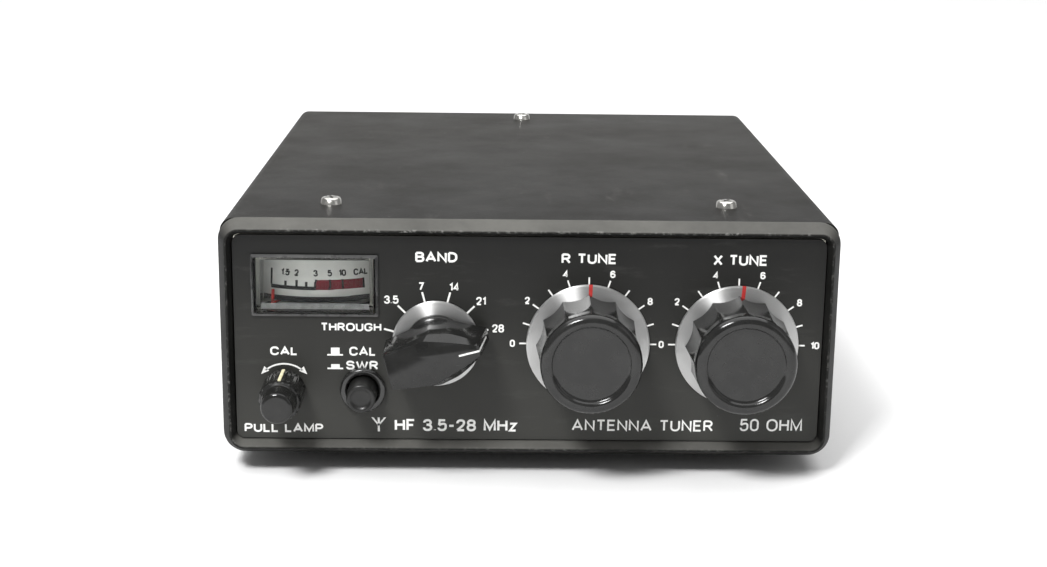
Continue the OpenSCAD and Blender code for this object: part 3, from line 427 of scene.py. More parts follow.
def bridge(bm, rings, closed=False):
    """Faces between rings of vertices in turn; a ring of one vertex is a pole."""
    pairs = list(zip(rings, rings[1:]))
    if closed:
        pairs.append((rings[-1], rings[0]))
    for a, b in pairs:
        count = max(len(a), len(b))
        for i in range(count):
            j = (i + 1) % count
            corners = [a[i % len(a)], a[j % len(a)], b[j % len(b)], b[i % len(b)]]
            unique = list(dict.fromkeys(corners))
            if len(unique) > 2:
                bm.faces.new(unique)


def tube(bm, rings):
    """Faces between rings of vertices, with both ends closed."""
    bridge(bm, rings)
    bm.faces.new(rings[0])
    bm.faces.new(rings[-1][::-1])


def ring_at(bm, outline, y):
    """A ring of vertices along an outline of x and z, at a depth."""
    return [bm.verts.new((x, y, z)) for x, z in outline]


def rounded_rectangle(low, high, radius, steps):
    """The corners of an upright rectangle with round corners, anticlockwise seen from the front."""
    points = []
    centres = ((high[0] - radius, high[1] - radius, 0), (low[0] + radius, high[1] - radius, 90),
               (low[0] + radius, low[1] + radius, 180), (high[0] - radius, low[1] + radius, 270))
    for cx, cz, first in centres:
        for i in range(steps + 1):
            a = math.radians(first + 90 * i / steps)
            points.append((cx + radius * math.cos(a), cz + radius * math.sin(a)))
    return points


def box_into(bm, low, high, turn=None):
    """Adds a closed box to bm; turn is a matrix applied to it."""
    made = bmesh.ops.create_cube(bm, size=1.0)
    size = [h - l for l, h in zip(low, high)]
    middle = [(h + l) / 2 for l, h in zip(low, high)]
    matrix = Matrix.Translation(middle) @ Matrix.Diagonal((*size, 1))
    bmesh.ops.transform(bm, matrix=(turn or Matrix()) @ matrix, verts=made["verts"])


def around(axis, degrees):
    """A turn about the Y axis through a control's centre, clockwise seen from the front."""
    middle = Matrix.Translation((axis.x, 0, axis.z))
    return middle @ Matrix.Rotation(math.radians(degrees), 4, "Y") @ middle.inverted()


# ---------- cabinet ----------

def bezel():
    """The bezel as one swept profile: side lip, rounded shoulder, front ridge and inward slope."""
    window_lo, window_hi = 4.3, 61.1
    slope_from, slope_to = 2.7, 3.7
    half = CASE_W / 2
    section = [(2.4, 14.0), (1.5, 14.0), (1.5, 5.5), (0.0, 5.5), (0.0, 4.3), (2.15, 0.15), (2.45, 0.0),
               (2.75, 0.05), (slope_to, PANEL_Y), (slope_to, PANEL_Y + 1.5), (3.3, 6.0), (2.9, 14.0),
               (2.4, 14.0)]
    bm = bmesh.new()
    rings = []
    for inset, y in fillet(section, 0.5, 4)[:-1]:
        share = max(0.0, (inset - slope_from) / (slope_to - slope_from))
        low = (-half + inset, inset + share * (window_lo - slope_to))
        high = (half - inset, CASE_H - inset - share * (CASE_H - window_hi - slope_to))
        radius = max(6.0 - inset * 0.95, 2.4)
        rings.append(ring_at(bm, rounded_rectangle(low, high, radius, 12), y))
    bridge(bm, rings, closed=True)
    place(bm, "front_bezel_moulding", bezel_plastic(), "cabinet", ("front_bezel",))


HEAD_R = 3.0
HEAD_H = 1.9
SHANK_R = 1.25
SCREW_H = HEAD_H + 5.0
RECESS_W = 0.95
RECESS_DROP = 0.35
RECESS_TAPER = 0.45


def pan_head_screw(bm, dirt_and_shade, at, down, turn):
    """A domed pan-head screw with a cross recess, pointing along down, and a dark cross in the recess that is
    painted shade.
    """
    profile = [(0.0, 0.0), (HEAD_R * 0.55, 0.04), (HEAD_R * 0.78, 0.2), (HEAD_R * 0.9, 0.55),
               (HEAD_R * 0.99, 1.8), (HEAD_R, HEAD_H), (SHANK_R, HEAD_H), (SHANK_R, SCREW_H), (0.0, SCREW_H)]
    tool = bmesh.new()
    rings = []
    steps = 48
    for radius, depth in profile:
        angles = [2 * math.pi * i / steps for i in range(steps if radius else 1)]
        rings.append([tool.verts.new((radius * math.cos(a), radius * math.sin(a), -depth)) for a in angles])
    bridge(tool, rings)
    bmesh.ops.recalc_face_normals(tool, faces=tool.faces)
    head = link("screw", mesh_from(tool, "screw"))
    cutter_bm = bmesh.new()
    for angle in (0, 90):
        made = bmesh.ops.create_cube(cutter_bm, size=1.0)
        matrix = (Matrix.Rotation(math.radians(angle), 4, "Z") @ Matrix.Translation((0, 0, -RECESS_DROP))
                  @ Matrix.Diagonal((HEAD_R * 1.3, RECESS_W, 1.6, 1)))
        bmesh.ops.transform(cutter_bm, matrix=matrix, verts=made["verts"])
        for vert in made["verts"]:
            if vert.co.z < -0.5:
                vert.co.x *= RECESS_TAPER
                vert.co.y *= RECESS_TAPER
    cutter = link("cutter", mesh_from(cutter_bm, "cutter"))
    cut = head.modifiers.new("cross", "BOOLEAN")
    cut.operation = "DIFFERENCE"
    cut.solver = "EXACT"
    cut.use_self = True
    cut.object = cutter
    bpy.context.view_layer.update()
    shape = bpy.data.meshes.new_from_object(head.evaluated_get(bpy.context.evaluated_depsgraph_get()))
    seat = (Matrix.Translation(at) @ Vector((0, 0, -1)).rotation_difference(down).to_matrix().to_4x4()
            @ Matrix.Rotation(math.radians(turn), 4, "Z"))
    shape.transform(seat)
    # Painted shade: two dark boxes fill the cross recess, standing for the shade inside it.
    for half_x, half_y in ((HEAD_R * 0.6, 0.42), (0.42, HEAD_R * 0.6)):
        box_into(dirt_and_shade, (-half_x, -half_y, -0.75), (half_x, half_y, -0.14), seat)
    bm.from_mesh(shape)
    for piece in (head, cutter):
        bpy.data.objects.remove(piece)
    bpy.data.meshes.remove(shape)


def cover_screws():
    """The seven screws of the covers, each turned differently."""
    low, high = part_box("cover_screws")
    low, high = local(low), local(high)
    front_x = high.x - HEAD_R
    bm, dirt_and_shade = bmesh.new(), bmesh.new()
    down, up = Vector((0, 0, -1)), Vector((0, 0, 1))
    rear_y = high.y - HEAD_R
    front_y = low.y + HEAD_R
    for x, y, turn in ((-front_x, front_y, 14), (front_x, front_y, 52), (0, rear_y, 33)):
        pan_head_screw(bm, dirt_and_shade, (x, y, high.z), down, turn)
    for x, y, turn in ((-40, 50, 5), (40, 50, 61), (-40, 150, 27), (40, 150, 74)):
        pan_head_screw(bm, dirt_and_shade, (x, y, low.z), up, turn)
    place(bm, "cover_screw_set", bright_metal("screw_nickel", (0.46, 0.455, 0.43), (0.6, 0.59, 0.56), 0.18),
          "cabinet", ("cover_screws",))
    # The dark crosses in the screw recesses are painted shade.
    place(dirt_and_shade, "cover_screw_recess_shade", printed("recess_painted_shade", (0.01, 0.009, 0.008), (0.022, 0.02, 0.017)),
          "cabinet", smooth=False)


# ---------- printing ----------

# A plain round-cornered alphabet. Capitals are 1 high. Each letter has its width and its pen strokes, and
# each stroke has the radius of its corners and its points.
LETTERS = {
    "A": (0.8, (0, (0, 0), (0.4, 1), (0.8, 0)), (0, (0.14, 0.3), (0.66, 0.3))),
    "B": (0.64, (0, (0, 0), (0, 1)), (0.25, (0, 1), (0.6, 1), (0.6, 0.53), (0, 0.53)),
          (0.27, (0, 0.53), (0.64, 0.53), (0.64, 0), (0, 0))),
    "C": (0.72, (0.36, (0.7, 0.72), (0.7, 1), (0, 1), (0, 0), (0.7, 0), (0.7, 0.28))),
    "D": (0.68, (0, (0, 0), (0, 1)), (0.42, (0, 1), (0.68, 1), (0.68, 0), (0, 0))),
    "E": (0.56, (0, (0.56, 1), (0, 1), (0, 0), (0.56, 0)), (0, (0, 0.52), (0.5, 0.52))),
    "F": (0.54, (0, (0.54, 1), (0, 1), (0, 0)), (0, (0, 0.5), (0.46, 0.5))),
    "G": (0.76, (0.36, (0.72, 0.74), (0.72, 1), (0, 1), (0, 0), (0.74, 0), (0.74, 0.46)),
          (0, (0.42, 0.46), (0.74, 0.46))),
    "H": (0.66, (0, (0, 0), (0, 1)), (0, (0.66, 0), (0.66, 1)), (0, (0, 0.52), (0.66, 0.52))),
    "L": (0.52, (0, (0, 1), (0, 0), (0.52, 0))),
    "M": (0.82, (0, (0, 0), (0, 1), (0.41, 0.1), (0.82, 1), (0.82, 0))),
    "N": (0.68, (0, (0, 0), (0, 1), (0.68, 0), (0.68, 1))),
    "O": (0.8, (0.4, (0.4, 1), (0, 1), (0, 0), (0.8, 0), (0.8, 1), (0.4, 1))),
    "P": (0.62, (0, (0, 0), (0, 1)), (0.27, (0, 1), (0.62, 1), (0.62, 0.45), (0, 0.45))),
    "R": (0.66, (0, (0, 0), (0, 1)), (0.26, (0, 1), (0.62, 1), (0.62, 0.49), (0, 0.49)),
          (0, (0.34, 0.49), (0.66, 0))),
    "S": (0.64, (0.25, (0.6, 0.75), (0.6, 1), (0.02, 1), (0.02, 0.52), (0.63, 0.52), (0.63, 0), (0, 0),
                 (0, 0.26))),
    "T": (0.62, (0, (0, 1), (0.62, 1)), (0, (0.31, 1), (0.31, 0))),
    "U": (0.66, (0.33, (0, 1), (0, 0), (0.66, 0), (0.66, 1))),
    "W": (1.00, (0, (0, 1), (0.25, 0), (0.5, 0.92), (0.75, 0), (1, 1))),
    "X": (0.68, (0, (0, 0), (0.68, 1)), (0, (0, 1), (0.68, 0))),
    "z": (0.46, (0, (0, 0.7), (0.46, 0.7), (0, 0), (0.46, 0))),
    "0": (0.58, (0.29, (0.29, 1), (0, 1), (0, 0), (0.58, 0), (0.58, 1), (0.29, 1))),
    "1": (0.26, (0, (0, 0.76), (0.26, 0.98), (0.26, 0))),
    "2": (0.56, (0.27, (0.01, 0.7), (0.01, 1), (0.55, 1), (0.55, 0.58), (0, 0)), (0, (0, 0), (0.56, 0))),
    "3": (0.58, (0.24, (0.02, 0.76), (0.02, 1), (0.54, 1), (0.54, 0.53), (0.2, 0.53)),
          (0.26, (0.2, 0.53), (0.58, 0.53), (0.58, 0), (0, 0), (0, 0.25))),
    "4": (0.6, (0, (0.43, 0), (0.43, 1), (0, 0.28), (0.6, 0.28))),
    "5": (0.57, (0, (0.53, 1), (0.08, 1), (0.03, 0.5)),
          (0.28, (0.03, 0.5), (0.3, 0.66), (0.57, 0.62), (0.57, 0), (0, 0), (0, 0.24))),
    "6": (0.58, (0.28, (0.29, 0.6), (0, 0.6), (0, 0), (0.58, 0), (0.58, 0.6), (0.29, 0.6)),
          (0.3, (0.53, 0.8), (0.53, 1), (0, 1), (0, 0.3))),
    "7": (0.54, (0, (0, 1), (0.54, 1), (0.18, 0))),
    "8": (0.58, (0.24, (0.29, 1), (0.03, 1), (0.03, 0.53), (0.55, 0.53), (0.55, 1), (0.29, 1)),
          (0.27, (0.29, 0.53), (0, 0.53), (0, 0), (0.58, 0), (0.58, 0.53), (0.29, 0.53))),
    ".": (0.02, (0, (0.01, 0), (0.01, 0.05))),
    "-": (0.36, (0, (0, 0.44), (0.36, 0.44))),
    " ": (0.22,),
}
LETTER_GAP = 0.3
INK_OVER = 0.045
INK_UNDER = 0.005
NUMBER_PEN = 0.43
SCALE_PEN = 0.4


def text_width(text):
    return sum(LETTERS[letter][0] for letter in text) + LETTER_GAP * (len(text) - 1)


def pen_stroke(bm, points, pen, to_space, lift):
    """One pen stroke as a closed strip: to_space takes x, z and a height over the surface."""
    rings = []
    for i, point in enumerate(points):
        before, after = points[max(i - 1, 0)], points[min(i + 1, len(points) - 1)]
        into, out = (point - before), (after - point)
        into, out = (into if into.length else out).normalized(), (out if out.length else into).normalized()
        normal = Vector((-(into + out).y, (into + out).x)).normalized()
        reach = pen / 2 / max(0.5, normal.dot(Vector((-into.y, into.x))))
        left, right = point + normal * reach, point - normal * reach
        rings.append([bm.verts.new(to_space(*corner, height)) for corner, height in
                      ((left, lift), (right, lift), (right, -INK_UNDER), (left, -INK_UNDER))])
    tube(bm, rings)


def write(bm, text, low, high, pen, to_space):
    """Writes text so that its ink just fills the box from low to high, in the surface's own x and z."""
    wide = (high[0] - low[0] - pen) / text_width(text)
    tall = high[1] - low[1] - pen
    x = low[0] + pen / 2
    for letter in text:
        for count, (radius, *points) in enumerate(LETTERS[letter][1:]):
            if radius:
                points = fillet(points, radius, 6)
            run = [Vector((x + p[0] * wide, low[1] + pen / 2 + p[1] * tall)) for p in points]
            kept = [p for p, q in zip(run, [None] + run) if q is None or (p - q).length > 1e-4]
            pen_stroke(bm, kept, pen, to_space, 0.035 + 0.006 * count)
        x += (LETTERS[letter][0] + LETTER_GAP) * wide


def on_panel(x, z, height):
    return (x, PANEL_Y - height, z)


def print_text(bm, text, box, pen):
    """Sets text on the panel in a box of x from, x to, z from and z to."""
    write(bm, text, (box[0], box[2]), (box[1], box[3]), pen, on_panel)


def print_number(bm, text, x, z, height):
    """Sets a number with its centre at x and z, at its natural width."""
    half = (text_width(text) * (height - NUMBER_PEN) + NUMBER_PEN) / 2 * 1.05
    print_text(bm, text, (x - half, x + half, z - height / 2, z + height / 2), NUMBER_PEN)


def print_tick(bm, axis, degrees, inner, outer, width=0.42):
    """A short line that points out from a control's centre, degrees clockwise from the top."""
    box_into(bm, (axis.x - width / 2, PANEL_Y - INK_OVER, axis.z + inner),
             (axis.x + width / 2, PANEL_Y + INK_UNDER, axis.z + outer), around(axis, degrees))


def print_outline(bm, points):
    """A flat printed shape from its outline, a hair proud of the panel and closed."""
    tube(bm, [ring_at(bm, points, PANEL_Y - INK_OVER), ring_at(bm, points, PANEL_Y + INK_UNDER)])


def tuning_dial(bm, axis, numbers):
    """Eleven ticks over the top half of a dial, with a number at each one that has one."""
    for i in range(11):
        print_tick(bm, axis, -90 + 18 * i, SKIRT_R - 0.6, SKIRT_R + 1.85)
    for i, text in numbers.items():
        a = math.radians(-90 + 18 * i)
        reach = SKIRT_R + 3.7 + (0.9 if text == "10" else 0.0)
        print_number(bm, text, axis.x + reach * math.sin(a), axis.z + reach * math.cos(a), 2.0)


def level_arrow(bm):
    """The double-headed arc over the level knob."""
    radius, half_pen = 7.6, 0.22
    top = CAL_AXIS.z + 6.9

    def spot(r, degrees):
        a = math.radians(degrees)
        return (CAL_AXIS.x + r * math.sin(a), top - radius + r * math.cos(a))

    angles = range(-40, 41, 4)
    print_outline(bm, [spot(radius + half_pen, a) for a in angles]
                  + [spot(radius - half_pen, a) for a in reversed(angles)])
    for side in (-1, 1):
        a = math.radians(side * 46)
        tip = Vector(spot(radius + 0.1, side * 46))
        along = Vector((side * math.cos(a), -abs(math.sin(a))))
        across = Vector((-along.y, along.x))
        head = [tip + along * 0.9, tip - along * 1.3 + across * 0.9, tip - along * 1.3 - across * 0.9]
        print_outline(bm, head)


def push_symbols(bm):
    """The out and in push-button signs: a plinth with a tall block, and one with a low block."""
    for base, block in ((27.9, 30.1), (24.1, 25.5)):
        print_outline(bm, [(-53.9, base), (-49.7, base), (-49.7, base + 0.42), (-53.9, base + 0.42)])
        print_outline(bm, [(-52.9, base + 0.42), (-50.6, base + 0.42), (-50.6, block), (-52.9, block)])


def aerial_sign(bm):
    """A plain drawing sign for an aerial: a mast with two raised arms."""
    x, z = -40.3, 6.6
    print_outline(bm, [(x - 0.28, z), (x + 0.28, z), (x + 0.28, z + 4.0), (x - 0.28, z + 4.0)])
    for side in (-1, 1):
        arm = [(x, z + 1.5), (x + side * 2.0, z + 4.0), (x + side * 1.45, z + 4.0), (x, z + 2.15)]
        print_outline(bm, arm if side > 0 else arm[::-1])


def panel_printing():
    """All white printing on the front panel. Every word is a plain control name."""
    bm = bmesh.new()
    for text, box, pen in (
            ("BAND", (-30.3, -19.2, 53.8, 56.6), 0.58), ("R TUNE", (8.3, 22.9, 53.7, 56.5), 0.56),
            ("X TUNE", (48.5, 62.9, 53.6, 56.5), 0.56), ("THROUGH", (-55.5, -39.4, 34.7, 37.0), 0.46),
            ("CAL", (-69.1, -61.8, 27.9, 30.3), 0.5), ("PULL LAMP", (-76.5, -55.3, 6.2, 8.7), 0.5),
            ("CAL", (-48.0, -40.9, 27.9, 30.4), 0.5), ("SWR", (-48.9, -40.3, 24.0, 26.5), 0.52),
            ("HF 3.5-28 MHz", (-36.0, -3.0, 6.8, 10.2), 0.62),
            ("ANTENNA TUNER", (11.9, 50.2, 7.2, 10.4), 0.5), ("50 OHM", (57.5, 74.4, 7.4, 10.9), 0.5)):
        print_text(bm, text, box, pen)
    tuning_dial(bm, R_AXIS, {0: "0", 2: "2", 4: "4", 6: "6", 8: "8"})
    tuning_dial(bm, X_AXIS, {0: "0", 2: "2", 4: "4", 6: "6", 8: "8", 10: "10"})
    for degrees in (-75, -45, -15, 15, 45, 75):
        print_tick(bm, BAND_AXIS, degrees, 11.2, 14.4, 0.5)
    for text, x, z in (("3.5", -36.7, 43.5), ("7", -28.8, 47.2), ("14", -20.0, 47.1), ("21", -12.9, 43.3),
                       ("28", -8.3, 35.8)):
        print_number(bm, text, x, z, 2.25)
    level_arrow(bm)
    push_symbols(bm)
    aerial_sign(bm)
    place(bm, "panel_printing", legend_ink(), "cabinet", smooth=False)


# ---------- meter ----------

SCALE_R = 26.0
PIVOT = Vector((METER.x, 33.5, 0))
WINDOW_HALF = 16.8
WINDOW_LO, WINDOW_HI = 38.9, 55.7
WINDOW_SIDE_Y, WINDOW_FACE_Y = 1.9, 1.02


def upright(half, low, high, radius=0.3):
    """A round-cornered outline about the meter's middle."""
    return rounded_rectangle((METER.x - half, low), (METER.x + half, high), radius, 4)


def meter_window():
    """The clear moulding: a proud frame with a bevelled lower ledge, thick sides and a thin face."""
    bm = bmesh.new()
    outer = upright(WINDOW_HALF, WINDOW_LO, WINDOW_HI, 0.6)
    face = upright(15.9, 42.2, 54.9, 0.4)
    walls, pocket = upright(15.4, 39.8, 55.0), upright(14.4, 40.3, 54.1)
    walls_end = 11.9
    rings = [ring_at(bm, outline, y) for outline, y in (
        (pocket, walls_end), (walls, walls_end), (walls, PANEL_Y), (outer, PANEL_Y), (outer, WINDOW_SIDE_Y),
        (face, WINDOW_FACE_Y))]
    bridge(bm, rings)
    bm.faces.new(rings[-1])
    back = ring_at(bm, pocket, 2.6)
    bridge(bm, [rings[0], back])
    bm.faces.new(back[::-1])
    place(bm, "meter_window_moulding", clear_acrylic(), "cabinet", ("meter_window",))


def meter_window_edge():
    """The dull bevel round the clear moulding's face, lying on its slope."""
    def slope(x, z):
        share = min((WINDOW_HALF - abs(x - METER.x)) / 0.9, (WINDOW_HI - z) / 0.8, (z - WINDOW_LO) / 3.3, 1)
        return WINDOW_SIDE_Y - 0.02 - (WINDOW_SIDE_Y - WINDOW_FACE_Y) * max(share, 0.0)

    bm = bmesh.new()
    rings = []
    for half, low, high, behind in ((16.6, 39.1, 55.5, 0.5), (16.82, 38.88, 55.72, 0.0),
                                    (16.1, 39.5, 55.0, 0.0), (16.1, 39.5, 55.0, 0.3)):
        rings.append([bm.verts.new((x, slope(x, z) + behind, z)) for x, z in upright(half, low, high, 0.5)])
    bridge(bm, rings, closed=True)
    place(bm, "meter_window_edge",
          mottled("meter_edge", (0.03, 0.03, 0.03), (0.055, 0.055, 0.054), 0.3, 4, 0.01),
          "cabinet", smooth=False)


def on_scale(degrees, z, lift):
    """A point on the meter's curved card, degrees to the right of its middle."""
    a = math.radians(degrees)
    r = SCALE_R + lift
    return (PIVOT.x + r * math.sin(a), PIVOT.y - r * math.cos(a), z)


def scale_patch(bm, a0, a1, z0, z1, thick=0.05, lift=-0.01):
    """A printed patch that follows the card's curve."""
    steps = max(1, round((a1 - a0) / 2))
    rings = []
    for i in range(steps + 1):
        a = a0 + (a1 - a0) * i / steps
        rings.append([bm.verts.new(on_scale(a, z, out)) for z, out in
                      ((z0, lift), (z1, lift), (z1, thick), (z0, thick))])
    tube(bm, rings)


def scale_text(bm, text, degrees, z, height):
    """Writes on the card's curve, centred on an angle."""
    half = (text_width(text) * (height - SCALE_PEN) + SCALE_PEN) / 2
    start = math.radians(degrees) * SCALE_R
    write(bm, text, (start - half, z - height / 2), (start + half, z + height / 2), SCALE_PEN,
          lambda x, up, lift: on_scale(math.degrees(x / SCALE_R), up, lift))


def meter_printing():
    """The card's black printing and red zone, the strips under the card, and a grey sheet on the ledge in
    front that is painted light for the moulding's edge-lit lower ledge.
    """
    def strip(bm, z0, z1):
        box_into(bm, (METER.x - 14.3, 2.62, z0), (METER.x + 14.3, 2.74, z1))

    black = bmesh.new()
    scale_patch(black, -28.3, -0.6, 44.75, 45.75)
    scale_patch(black, -28.7, -27.5, 45.7, 50.1)
    for degrees, top in ((-18.8, 47.0), (-11.9, 47.4), (-6.1, 47.0)):
        scale_patch(black, degrees - 0.75, degrees + 0.75, 45.7, top)
    scale_patch(black, -33.2, 33.2, 41.52, 42.95)
    scale_patch(black, -32.0, 32.0, 40.32, 40.36, 3.4, -1.5)
    strip(black, 40.33, 40.74)
    for degrees in (-0.9, 7.3, 14.6, 27.3):
        scale_patch(black, degrees - 0.6, degrees + 0.6, 44.8, 47.6, 0.07)
    for text, degrees in (("1.5", -19.0), ("2", -12.2), ("3", -0.9), ("5", 7.4), ("10", 14.8), ("CAL", 26.0)):
        scale_text(black, text, degrees, 49.35, 1.8)
    place(black, "meter_scale_printing", printed("print_black", (0.004, 0.004, 0.004), (0.008, 0.008, 0.008)),
          "cabinet", smooth=False)
    red = bmesh.new()
    scale_patch(red, -0.6, 27.3, 44.85, 47.5)
    place(red, "meter_red_zone", printed("print_red", (0.1, 0.003, 0.008), (0.15, 0.005, 0.012)),
          "cabinet", smooth=False)
    # Painted light: this grey sheet on the ledge's inner wall stands for the edge-lit look of the moulding's
    # lower ledge; it also hides the needle's arm.
    ledge = bmesh.new()
    strip(ledge, 40.75, 42.35)
    place(ledge, "meter_ledge_painted_light", printed("ledge_painted_light_grey", (0.14, 0.14, 0.138), (0.21, 0.21, 0.207)),
          "cabinet", smooth=False)


# ---------- controls ----------

FLUTES = 12
KNOB_FOOT = 1.2


def flute_radius(radius, y, angle):
    """The knob's radius where twelve round scallops, deeper at the foot, cut its side."""
    fade = min(1.0, max(0.0, (y - (KNOB_FRONT + 1.6)) / 4.2))
    fade = fade * fade * (3 - 2 * fade)
    if radius < 12.8 or fade == 0 or y > KNOB_FOOT + 0.01:
        return radius
    deep = 0.45 + 0.75 * (y - KNOB_FRONT) / (KNOB_FOOT - KNOB_FRONT)
    sector = math.pi / FLUTES
    chord = radius * math.sin(sector)
    sag = radius * math.cos(sector) - (radius - deep)
    round_r = (chord ** 2 + sag ** 2) / (2 * sag)
    away = radius - deep + round_r
    swing = ((angle / (2 * sector)) % 1 - 0.5) * 2 * sector
    scallop = away * math.cos(swing) - math.sqrt(max(round_r ** 2 - (away * math.sin(swing)) ** 2, 0.0))
    soft = 0.07
    gap = (radius - scallop) / soft
    cut = radius - soft * (gap if gap > 30 else math.log(1 + math.exp(gap)))
    return radius + (cut - radius) * fade


def tuning_knob(node, axis, body, material):
    """A fluted knob with a raised front rim round a sunk face, hollow at the back."""
    front, foot = KNOB_FRONT, KNOB_FOOT
    profile = [(0.0, front + 1.0), (6.0, front + 1.0), (9.8, front + 0.95), (10.4, front + 0.2),
               (10.9, front), (11.9, front + 0.05), (12.8, front + 0.5), (13.2, front + 1.3)]
    profile = fillet(profile, 0.6, 5)
    rows = 26
    for i in range(1, rows + 1):
        t = i / rows
        profile.append((13.2 + 0.8 * t, front + 1.3 + (foot - 0.3 - front - 1.3) * t))
    profile += [(13.9, foot - 0.1), (13.6, foot), (8.2, foot), (8.0, foot - 0.2), (8.0, -0.4), (0.0, -0.4)]
    bm = lathe(profile, axis, 288, flute_radius)
    place(bm, node + "_moulding", material, body, (node,))


def skirt(node, axis, radius, hub, body, material):
    """A turned skirt with a small bevel at its rim."""
    profile = fillet([(hub, 2.1), (hub, 1.25), (hub + 0.4, 1.2), (radius - 0.3, 1.2), (radius, 1.45),
                      (radius, 2.1), (hub, 2.1)], 0.12, 3)
    bm = lathe(profile, axis, 192)
    bmesh.ops.remove_doubles(bm, verts=bm.verts, dist=1e-5)
    place(bm, node + "_disc", material, body, (node,))


def index_line(name, axis, turn, body, material):
    """The red line laid across a tuning skirt, in its shallow slot."""
    bm = bmesh.new()
    for y0, y1, z0, z1 in ((1.16, 1.3, 13.1, SKIRT_R - 0.24), (1.22, 2.0, SKIRT_R - 0.3, SKIRT_R + 0.02)):
        box_into(bm, (axis.x - 0.5, y0, axis.z + z0), (axis.x + 0.5, y1, axis.z + z1), around(axis, turn))
    bmesh.ops.bevel(bm, geom=list(bm.edges), offset=0.03, segments=1, affect="EDGES")
    place(bm, name, material, body, smooth=False)


def bar_outline(grow, y, steps=5):
    """The bar knob's outline at a depth, as (u, v) points with u towards the nose and its corners eased."""
    nose = 12.1 + 0.15 * (y - BAND_FRONT)
    half = [(-12.3 - 0.2 * grow, 4.6 + 0.3 * grow), (-1.2 + 1.2 * grow, 6.05 + grow), (5.4, 3.9 + 2 * grow),
            (9.5, 2.4 + 1.3 * grow), (nose, 1.4 + 0.3 * grow)]
    loop = half + [(u, -v) for u, v in half[::-1]]
    eased = []
    for i, corner in enumerate(loop):
        before, corner, after = Vector(loop[i - 1]), Vector(corner), Vector(loop[(i + 1) % len(loop)])
        ease = 0.45 if abs(corner.x) > 11 or -2 < corner.x < 1 else 1.6
        start = corner + (before - corner).normalized() * ease
        end = corner + (after - corner).normalized() * ease
        for k in range(steps):
            t = k / (steps - 1)
            eased.append(start.lerp(corner, t).lerp(corner.lerp(end, t), t))
    return eased


def band_knob(material):
    """The bar knob: a flat face with sloped facets to its widest outline, on a round hub."""
    tilt = math.radians(BAND_TILT)
    along, across = Vector((math.cos(tilt), math.sin(tilt))), Vector((-math.sin(tilt), math.cos(tilt)))
    bm = bmesh.new()
    rings = []
    front = BAND_FRONT
    for grow, y in ((-0.12, front), (0.02, front + 0.06), (0.9, front + 2.25), (1.0, front + 2.5),
                    (1.12, front + 7), (1.28, -1.4), (1.2, -1.05)):
        ring = []
        for u, v in bar_outline(grow, y):
            spot = along * u + across * v
            ring.append(bm.verts.new((BAND_AXIS.x + spot.x, y, BAND_AXIS.z + spot.y)))
        rings.append(ring)
    tube(bm, rings)
    hub = [(0.0, -1.3), (7.2, -1.3), (8.2, -0.5), (8.2, 0.9), (8.0, 1.2), (7.3, 1.2), (7.2, -0.4),
           (0.0, -0.4)]
    mesh = mesh_from(lathe(fillet(hub, 0.3, 4), BAND_AXIS, 96), "hub")
    bm.from_mesh(mesh)
    bpy.data.meshes.remove(mesh)
    place(bm, "band_knob_moulding", material, "band_selector", ("band_knob",))


def band_pointer(material):
    """The white line on the bar knob's face and down its nose."""
    half = 0.24
    bm = bmesh.new()
    turn = around(BAND_AXIS, -BAND_TILT)
    x, z = BAND_AXIS.x, BAND_AXIS.z
    top = BAND_FRONT
    box_into(bm, (x + 6.7, top - 0.05, z - half), (x + 11.9, top + 0.1, z + half), turn)
    rings = []
    for u, y in ((11.8, top), (12.08, top + 0.05), (12.5, top + 2.5), (13.18, top + 7), (13.86, top + 11.6)):
        rings.append([bm.verts.new(turn @ Vector((x + u + du, y + dy, z + dz))) for du, dy, dz in
                      ((0.05, -0.04, -half), (0.05, -0.04, half), (-0.4, 0.2, half), (-0.4, 0.2, -half))])
    tube(bm, rings)
    place(bm, "band_pointer_line", material, "band_selector", smooth=False)


def ribbed_radius(radius, y, angle):
    """Eighteen soft grooves round the level knob's thick part."""
    if radius < 5.2 or y > 1.2:
        return radius
    return radius - 0.09 * (1 + math.cos(18 * angle))


def level_knob(material, line_material):
    """The stepped level knob with its pale pointer line along the top."""
    profile = [(0.0, -15.35), (3.4, -15.4), (4.15, -14.9), (4.3, -14.0), (4.55, -9.6), (5.3, -9.0),
               (5.65, -8.2), (5.7, -7.0), (5.7, 1.4), (5.4, 1.9), (4.95, 1.9), (4.9, -0.6), (0.0, -0.6)]
    profile = fillet(profile, 0.35, 4)
    place(lathe(profile, CAL_AXIS, 216, ribbed_radius), "cal_knob_moulding", material, "cal_control",
          ("cal_knob",))
    bm = bmesh.new()
    x, z = CAL_AXIS.x, CAL_AXIS.z
    box_into(bm, (x - 0.42, -8.3, z + 5.1), (x + 0.42, 1.2, z + 5.76))
    bmesh.ops.bevel(bm, geom=list(bm.edges), offset=0.05, segments=2, affect="EDGES")
    place(bm, "cal_pointer_line", line_material, "cal_control", smooth=False)


